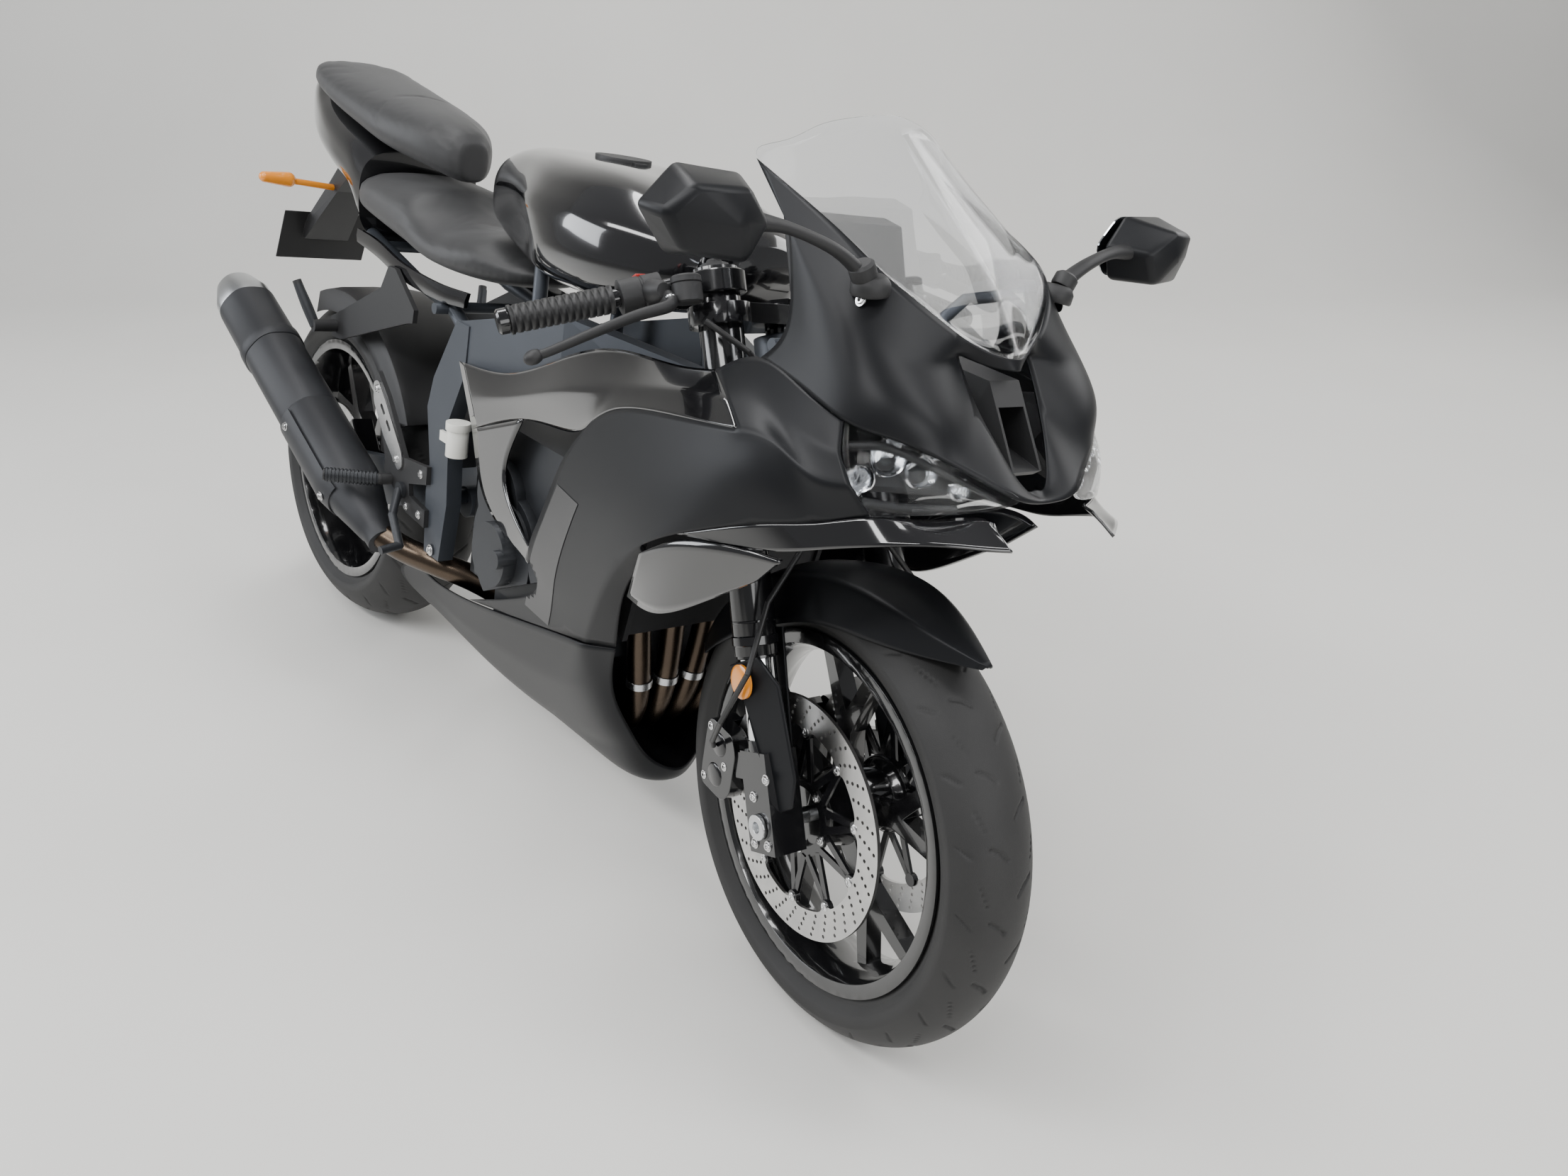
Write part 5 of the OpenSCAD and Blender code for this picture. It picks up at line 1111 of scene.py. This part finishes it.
for s in (1, -1):
    kit.sweep([(1427, s * 150, 950), (1423, s * 166, 966), (1420, s * 200, 984), (1412, s * 250, 998),
               (1408, s * 290, 1002)], [13, 10, 8.5, 8, 12], 18, flat=0.75)
    kit.turned((1427, s * 146, 942), (1427, s * 149, 962), [(0, 19), (2, 20.5), (12, 20.5), (18, 17),
                                                            (20, 14)], 32)
    kit.turned((1426, s * 156, 958), (1425, s * 166, 974), [(0, 13), (3, 14), (14, 14), (17, 11)], 28)
    plate_line = [(268, 1002), (298, 1039), (370, 1043), (403, 1006), (370, 968), (292, 968)]
    verts = [(1377.2, s * y, z) for y, z in rounded(plate_line, 12, 4)]
    verts = [(x, y * 0.985 + s * 4, z) for x, y, z in verts]
    n = len(verts)
    glass.add(verts + [(x + 2, y, z) for x, y, z in verts],
              [list(range(n))[::s], [n + k for k in range(n)][::-s]]
              + [[k, (k + 1) % n, n + (k + 1) % n, n + k][::-s] for k in range(n)])
kit.done("mirror_arms", "trim_black", "chassis", BIKE, "trim_black", smooth=40)
glass.done("mirror_glasses", "mirror_glass", "chassis", BIKE, smooth=40)

# ---- handlebars, grips, levers and switches, in the steering frame ----
BAR_IN, BAR_OUT = Vector((FORK_X - 4, FORK_Y + FORK_R + 2, 652)), Vector((-48, 355, 620))


def on_bar(t, s):
    p = BAR_IN.lerp(BAR_OUT, t)
    return Vector((p.x, s * p.y, p.z))


bars, rubber, pods, levers = Kit(), Kit(), Kit(), Kit()
for s in (1, -1):
    c = Vector((FORK_X, s * FORK_Y, 0))
    bars.turned(c + Vector((0, 0, 637)), c + Vector((0, 0, 663)), [(0, 34), (1.5, 35.6), (24.5, 35.6),
        (26, 34)], 48)
    bars.rod(on_bar(0, s), on_bar(0.95, s), 10.8)
    bars.turned(on_bar(0.945, s), on_bar(1.0, s), [(0, 12), (0.5, 14.8), (10, 14.8), (12.5, 12)], 32)
    a, b = on_bar(0.42, s), on_bar(0.94, s)
    long = (b - a).length
    profile = [(0, 14), (0.5, 16.9), (4, 16.9), (5, 15.2)]
    t = 7.0
    while t < long - 9:
        profile += [(t, 15.2), (t + 0.6, 16.2), (t + 6.4, 16.2), (t + 7.0, 15.2)]
        t += 8.4
    profile += [(long - 5, 15.2), (long - 4, 16.9), (long - 0.5, 16.9), (long, 14)]
    rubber.turned(a, b, profile, 40)
    pods.turned(on_bar(0.17, s), on_bar(0.395, s), [(0, 15), (1, 20.6), (22, 20.6), (23, 19.6), (25, 19.6),
                                                    (26, 20.6),
                                                     (50, 20.6), (51, 18)], 28)
    mid = on_bar(0.3, s)
    pods.turned(mid + Vector((-16, 0, 2)), mid + Vector((-27, 0, 4)), [(0, 12), (8, 11), (11, 8)], 14)
    levers.turned(on_bar(0.25, s) + Vector((12, 0, -1)), on_bar(0.25, s) + Vector((42, 0, -6)),
                  [(0, 13), (4, 14), (24, 12), (31, 9)], 24)
    levers.sweep([tuple(on_bar(0.25, s) + Vector((24, -s * 6, -5))), (62, s * 190, 619), (52, s * 232, 608),
                  (34, s * 280, 592), (14, s * 322, 577), (6, s * 340, 572)], [8, 7, 6, 5.4, 5, 5], 16,
                 flat=1.25)
    levers.turned((11, s * 331, 575), (1, s * 350, 568), [(0, 4), (3, 7), (9, 8.6), (15, 8), (20, 5),
                                                          (22, 1)], 20)
    # round fluid pot on its stalk, and the hose union
    pods.turned((58, s * 165, 621), (58, s * 165, 653), [(0, 15), (2, 17.6), (22, 17.6), (23, 16.6),
                                                         (24, 17.9), (30, 17.9),
                                                       (32, 15.5)], 36)
    levers.bolt((57, s * 186, 628), (0.2, 0, 1), 6, 4, mat=1)
bar_obj = bars.done("clip_on_bars", "fork_black", "steering", FORK, "fork_black", smooth=35)
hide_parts("handlebars")
rubber.done("grips", "hose_rubber", "steering", FORK, "hose_rubber", smooth=60)
pod_obj = pods.done("switch_pods", "trim_black", "steering", FORK, "trim_black", smooth=35)
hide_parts("controls")
levers.done("levers", ["trim_black", "bolt_silver"], "steering", FORK, "trim_black", smooth=50)
kit = Kit()
mid = on_bar(0.27, -1)
kit.slab([(mid.x - 14, mid.z + 14), (mid.x + 2, mid.z + 18), (mid.x + 3, mid.z + 22.5), (mid.x - 14,
    mid.z + 20)],
         mid.y - 7, mid.y + 7)
kit.done("kill_switch", "red_plastic", "steering", FORK, bevel=1.2)

# ---- headlamp insides ----
kit = Kit()
for s in (1, -1):
    def bowl(at, aim, r, deep, mat, n=40):
        at, aim = Vector(at), Vector(aim).normalized()
        at.y *= s
        aim.y *= s
        kit.turned(at - aim * deep, at, [(0, r * 0.12), (deep * 0.15, r * 0.5), (deep * 0.5, r * 0.82), (deep,
            r),
                                         (deep + 1.0, r + 1.6), (deep - 1.0, r + 3.0), (deep * 0.3, r * 0.8)],
                   n, mat)
    bowl((1500, 152, 795), (0.85, 0.45, 0.12), 17, 16, 1)
    bowl((1520, 122, 785), (0.92, 0.35, 0.1), 15, 16, 1)
    bowl((1490, 176, 772), (0.7, 0.7, 0.05), 12, 14, 1)
    bowl((1545, 88, 772), (0.95, 0.25, 0.1), 9, 10, 1)
    for at, aim, r in (((1512, 118, 782), (0.9, 0.35, 0.1), 9.5), ((1494, 150, 792), (0.85, 0.45, 0.12), 6)):
        at, aim = Vector((at[0], s * at[1], at[2])), Vector((aim[0], s * aim[1], aim[2])).normalized()
        kit.turned(at, at + aim * 9, [(0, r), (3, r), (6, r * 0.8), (8, r * 0.45), (9, 0.3)], 28, 2)
    # dark bezel strips between the bowls and the lens
    kit.sweep([(1470, s * 180, 800), (1500, s * 156, 806), (1535, s * 112, 790), (1570, s * 60, 768)], [5, 5,
        4, 3], 10, 0)
    kit.sweep([(1500, s * 184, 752), (1530, s * 146, 752), (1556, s * 100, 757)], [5, 5, 3], 10, 0)
kit.done("headlamp_reflectors", ["trim_black", "reflector", "clear_lens"], "chassis", BIKE, "trim_black",
         smooth=40)

# ---- front indicators: clear trapezoid lenses with ribs inside ----
kit, inner = Kit(), Kit()
for s in (1, -1):
    corners = [Vector((p[0] + 6, p[1] - 2.6, p[2] - 4)) for p in LENS_CORNERS]
    middle = sum(corners, Vector()) / 4
    loops = []
    for scale_by, lift_by in ((1.0, -3.5), (1.0, 0.0), (0.94, 1.4)):
        loops += [tuple(middle + (p - middle) * scale_by + Vector((0, lift_by, 0))) for p in corners]
    verts = [(x, s * y, z) for x, y, z in loops]
    faces = [[8, 9, 10, 11]] + [[a * 4 + k, a * 4 + (k + 1) % 4, a * 4 + 4 + (k + 1) % 4, a * 4 + 4 + k]
                                for a in (0, 1) for k in range(4)] + [[3, 2, 1, 0]]
    kit.add(verts, faces if s > 0 else [f[::-1] for f in faces])
    for k in range(1, 9):
        t = k / 9
        a, b = corners[0].lerp(corners[1], t), corners[3].lerp(corners[2], t)
        inner.rod((a.x, s * (a.y - 5), a.z), (b.x, s * (b.y - 5), b.z), 1.3, n=8)
lens_obj = kit.done("indicator_lenses", "clear_lens", "chassis", BIKE, "clear_lens", bevel=0.8)
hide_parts("front_indicators")
inner.done("indicator_ribs", "decal_light", "chassis", BIKE, "clear_lens", smooth=40)

# ---- exhaust: smooth header pipes, collector and silencer ----
kit = Kit()
for y in (-96, -32, 32, 96):
    kit.sweep([(1000, y, 530), (1016, y, 528), (1034, y * 0.98, 490), (1038, y * 0.9, 400), (1028, y * 0.7,
        300),
               (1004, y * 0.6, 240), (960, y * 0.52, 214), (880, y * 0.46, 207), (795, y * 0.4, 205)], 17, 26,
              steps=7)
    kit.turned((1000, y, 530), (1007, y, 530), [(0, 22), (6, 22), (7, 19)], 28, 1)
    kit.turned((1030.5, y * 0.72, 318), (1029.2, y * 0.7, 304), [(0, 17.2), (1, 19), (12, 19), (13, 17.2)],
               26, 1)
kit.turned((806, 0, 205), (648, 0, 205), [(0, 30), (6, 40), (60, 39), (140, 33), (158, 23)], 48)
kit.sweep([(655, 0, 205), (620, -8, 222), (585, -28, 250), (545, -70, 275), (505, -116, 292), (450, -150,
    300),
           (405, -174, 312)], 22, 28, steps=7)
headers = kit.done("header_pipes", ["heat_steel", "steel"], "chassis", BIKE, "heat_steel", smooth=40)
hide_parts("exhaust_headers")

S_FRONT, S_REAR = Vector((385, -178, 318)), Vector((-255, -195, 590))
S_DIR = (S_REAR - S_FRONT).normalized()
S_LONG = (S_REAR - S_FRONT).length
kit = Kit()
# body with six soft flats, a shoulder and a turned tail
n = 72
q = S_DIR.to_track_quat("Z", "Y").to_matrix()


def can(stations, mat, flats=0.0):
    verts = []
    for t, r in stations:
        for k in range(n):
            w = 2 * math.pi * k / n
            soft = 1 - flats * (0.5 - 0.5 * math.cos(6 * w)) * (1 if r > 45 else 0.4)
            verts.append(S_FRONT + q @ Vector((r * soft * math.cos(w), r * soft * math.sin(w), t * S_LONG)))
    m = len(stations)
    faces = [[i * n + k, i * n + (k + 1) % n, (i + 1) * n + (k + 1) % n, (i + 1) * n + k]
             for i in range(m - 1) for k in range(n)]
    faces.append([k for k in range(n - 1, -1, -1)])
    kit.add(verts, faces, mat)


can([(-0.045, 22), (-0.045, 25), (-0.01, 26), (0.0, 29.5), (0.05, 37), (0.15, 54), (0.17, 55.8), (0.42, 55.8),
     (0.425, 54.6),
     (0.43, 55.8), (0.69, 55.8)], 0, 0.035)
can([(0.69, 50), (0.692, 56.5), (0.7, 58.6), (0.725, 58.6), (0.735, 55.6), (0.90, 54.8)], 0, 0.03)
can([(0.898, 50), (0.90, 54.6), (0.93, 54.0), (0.99, 40.5), (1.0, 38.0), (1.0, 27.5), (0.985, 26.6), (0.83,
    26.2)], 1, 0.05)
# heat shield that wraps the outer side, with its bolts
shield = []
arc_n = 18
for i in range(13):
    t = 0.12 + 0.30 * i / 12
    for k in range(arc_n + 1):
        w = math.radians(-100 + 130 * k / arc_n)
        base = 57.0 if t > 0.17 else 39 + (t - 0.05) * 150
        shield.append((t, w, base + 1.2))
verts = []
side_axis = Vector((0, -1, 0))
side_axis = (side_axis - S_DIR * side_axis.dot(S_DIR)).normalized()
up_axis = S_DIR.cross(side_axis)
for level in (0, -2.0):
    for t, w, r in shield:
        verts.append(S_FRONT + S_DIR * (t * S_LONG) + (side_axis * math.cos(w) + up_axis * math.sin(w)) * (r + level))
cols, rows_n = arc_n + 1, 13
half = cols * rows_n
faces = []
for i in range(rows_n - 1):
    for k in range(arc_n):
        a = i * cols + k
        faces.append([a, a + cols, a + cols + 1, a + 1])
        faces.append([half + a, half + a + 1, half + a + cols + 1, half + a + cols])
border = [k for k in range(cols)] + [i * cols + arc_n for i in range(1, rows_n)] + \
    [(rows_n - 1) * cols + k for k in range(arc_n - 1, -1, -1)] + [i * cols for i in range(rows_n - 2, 0, -1)]
for a, b in zip(border, border[1:] + border[:1]):
    faces.append([a, b, half + b, half + a])
kit.add(verts, faces, 0)
for t, w in ((0.15, -0.2), (0.39, 0.1)):
    out_dir = side_axis * math.cos(w) + up_axis * math.sin(w)
    kit.bolt(S_FRONT + S_DIR * (t * S_LONG) + out_dir * (57.5 if t > 0.2 else 55), out_dir, 6, 5, 2)
can_obj = kit.done("silencer_can", ["silencer_black", "steel", "bolt_silver"], "chassis", BIKE,
                   "silencer_black", smooth=28)
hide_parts("silencer")

# ---- foot controls on both sides ----
kit, silver = Kit(), Kit()
HEEL = [(300, 552), (318, 560), (352, 530), (420, 462), (424, 440), (410, 428), (350, 470), (304, 520)]
SLOTS = [rounded([(x, z), (x + 16, z - 14), (x + 22, z - 9), (x + 6, z + 5)], 3, 3) for x, z in ((330, 520),
    (354, 498))]
for s in (1, -1):
    silver.slab(rounded(HEEL, 8, 4), s * 152.4, s * 155.6, 0, holes=SLOTS)
    for x, z in ((400, 446), (316, 544), (488, 448), (488, 378), (440, 376)):
        silver.bolt((x, s * (155.6 if x < 420 else 152), z), (0, s, 0), 5.5, 3.4)
    # ribbed peg sleeve over the peg
    a, b = Vector((374, s * 172, 404)), Vector((333, s * 248, 404))
    long = (b - a).length
    profile = [(0, 9.5)]
    t = 3.0
    while t < long - 5:
        profile += [(t, 10.4), (t + 0.4, 12.4), (t + 3.4, 12.4), (t + 3.8, 10.4)]
        t += 6.0
    profile += [(long - 1, 11.6), (long, 9)]
    silver.turned(a, b, profile, 28, 1)
    # passenger peg the same way
    a, b = Vector((57, s * 162, 590)), Vector((26, s * 183, 658))
    silver.sweep([tuple(a), tuple(a.lerp(b, 0.5)), tuple(b)], [9, 9.6, 8], 16, 1)
silver.done("foot_plates_and_pegs", ["bolt_silver", "engine_metal"], "chassis", BIKE, "engine_metal",
            smooth=40)

# ---- bolts on frame, covers and panels ----
kit = Kit()
for s in (1, -1):
    for x, z in ((525, 329), (484, 369), (475, 450)):
        kit.bolt((x, s * 146, z), (0, s, 0), 7, 4)
    kit.bolt((1427, s * 157, 937), (0, s, 0.2), 5, 3)
for x, y, z in ((887, -200, 432), (797, -200, 387)):
    kit.bolt((x, y + 44, z), (0, -1, 0), 4.5, 4)
kit.done("bolts", "bolt_silver", "chassis", BIKE, smooth=40)

# ---- generic graphics: a diagonal grey band laid on each side panel, no lettering ----


def laid(name, skin, corners, mat, n=14, m=26, lift=0.7):
    """A thin strip between four X-Z corners, dropped onto the skin from both sides."""
    co, faces = evaluated(skin)
    back = BIKE.inverted()
    tree = BVHTree.FromPolygons([back @ Vector(v) for v in co], faces)
    c = [Vector(p) for p in corners]
    for s in (1, -1):
        index, verts, quads = {}, [], []
        for i in range(n + 1):
            for j in range(m + 1):
                low, high = c[0].lerp(c[1], i / n), c[3].lerp(c[2], i / n)
                p = low.lerp(high, j / m)
                hit = tree.ray_cast(Vector((p.x, s * 600, p.y)), Vector((0, -s, 0)), 560)
                if hit[0] is not None:
                    index[(i, j)] = len(verts)
                    verts.append(hit[0] + Vector((0, s * lift, 0)))
        for i in range(n):
            for j in range(m):
                k = [index.get(q) for q in ((i, j), (i + 1, j), (i + 1, j + 1), (i, j + 1))]
                if None in k or max(verts[a].y for a in k) - min(verts[a].y for a in k) > 16:
                    continue
                quads.append(k if s < 0 else k[::-1])
        if quads:
            put(name + ("_left" if s > 0 else "_right"), verts, quads, mat, "chassis", BIKE, smooth=180)


laid("fairing_band", fairing, [(985, 600), (1060, 600), (950, 380), (875, 380)], "decal_grey")

# ---- the CAD nodes that stay, each with its slot's finish and softened edges ----
slots = {s["node"]: s["material_slot"] for s in frame["record"]["subparts"]}
EDGES = {"frame": 5.0, "head_tube": 2.0, "swingarm": 4.0, "engine": 3.0, "engine_covers": 2.0,
         "radiator": 1.0, "subframe": 0.8,
         "rear_hugger": 0.8, "plate_holder": 1.2, "yokes": 3.0, "fork_legs": 1.6, "front_rim": 1.4,
         "rear_rim": 1.8,
         "side_stand": 2.0, "instrument_panel": 3.0, "rear_caliper": 3.0, "gear_lever": 1.0,
         "headlamp_housings": 2.0,
         "rear_shock": 1.0, "fuel_cap": 1.2, "fairing_stay": 0.6, "rear_axle": 0.8, "front_axle": 0.8,
         "fluid_reservoir": 1.0, "rear_sprocket": 0.6, "rear_disc": 0.6, "intake_duct": 1.0}
for name, obj in frame["nodes"].items():
    if obj.hide_render:
        continue
    finish = MATS[slots[name]]
    if not obj.material_slots:
        obj.data.materials.append(finish)
    for place in obj.material_slots:
        place.link = "OBJECT"
        place.material = finish
    if name in EDGES:
        weld = obj.modifiers.new("weld", "WELD")
        weld.merge_threshold = 0.00005
        mod = obj.modifiers.new("edges", "BEVEL")
        mod.width, mod.segments, mod.limit_method = EDGES[name] * 0.001, 2, "ANGLE"
        mod.angle_limit = math.radians(38)
        mod.harden_normals = True

# ---- floor and light ----


def floor_material():
    mat = material("floor", (0.74, 0.73, 0.70), 0.55, grain=0.15, grain_scale=60, blotch=0.03,
                   blotch_scale=1.6,
                   tint=(0.80, 0.79, 0.76))
    return mat


MATS["floor"] = floor_material()
cove = bpy.data.meshes.new("floor")
rows = [(-7, 0), (2.6, 0)] + [(2.6 + 1.2 * math.sin(a), 1.2 - 1.2 * math.cos(a)) for a in
                              [math.pi / 2 * k / 12 for k in range(1, 13)]] + [(3.8, 5.5)]
# the backdrop rises behind the machine as the camera sees it
back = Vector((look.x, look.y, 0)).normalized()
across = back.cross(Vector((0, 0, 1)))
cove_verts = []
for along_back, z in rows:
    for s in (-9, 9):
        cove_verts.append(back * along_back + across * s + Vector((0, 0, z)))
cove.from_pydata(cove_verts, [], [[2 * i, 2 * i + 1, 2 * i + 3, 2 * i + 2] for i in range(len(rows) - 1)])
cove.materials.append(MATS["floor"])
for face in cove.polygons:
    face.use_smooth = True
floor = bpy.data.objects.new("floor", cove)
bpy.context.scene.collection.objects.link(floor)

world = bpy.data.worlds.new("studio")
bpy.context.scene.world = world
world.use_nodes = True
world.node_tree.nodes["Background"].inputs["Color"].default_value = (0.93, 0.94, 0.96, 1)
world.node_tree.nodes["Background"].inputs["Strength"].default_value = 0.34


def softbox(name, at, aim, size, power, colour=(1, 1, 1)):
    data = bpy.data.lights.new(name, "AREA")
    data.shape, data.size, data.size_y = "RECTANGLE", size[0], size[1]
    data.energy, data.color = power, colour
    lamp = bpy.data.objects.new(name, data)
    bpy.context.scene.collection.objects.link(lamp)
    lamp.location = at
    lamp.rotation_mode = "QUATERNION"
    lamp.rotation_quaternion = (Vector(aim) - Vector(at)).to_track_quat("-Z", "Y")
    return lamp


softbox("ceiling_a", (-0.6, -0.4, 3.4), (0, 0, 0.4), (3.6, 0.5), 70)
softbox("ceiling_b", (0.4, -2.2, 3.0), (0, 0, 0.4), (3.8, 0.45), 75)
softbox("ceiling_c", (1.9, 0.9, 3.0), (0.4, 0, 0.5), (0.5, 3.0), 45)
softbox("window", (-2.8, -3.2, 1.9), (-0.2, 0, 0.6), (2.2, 1.6), 85, (0.93, 0.96, 1.0))
softbox("fill_front", (3.4, -0.4, 1.6), (0.6, 0, 0.5), (1.6, 1.6), 35)
softbox("fill_left", (0.5, 3.6, 2.2), (0, 0, 0.5), (2.4, 1.4), 45)
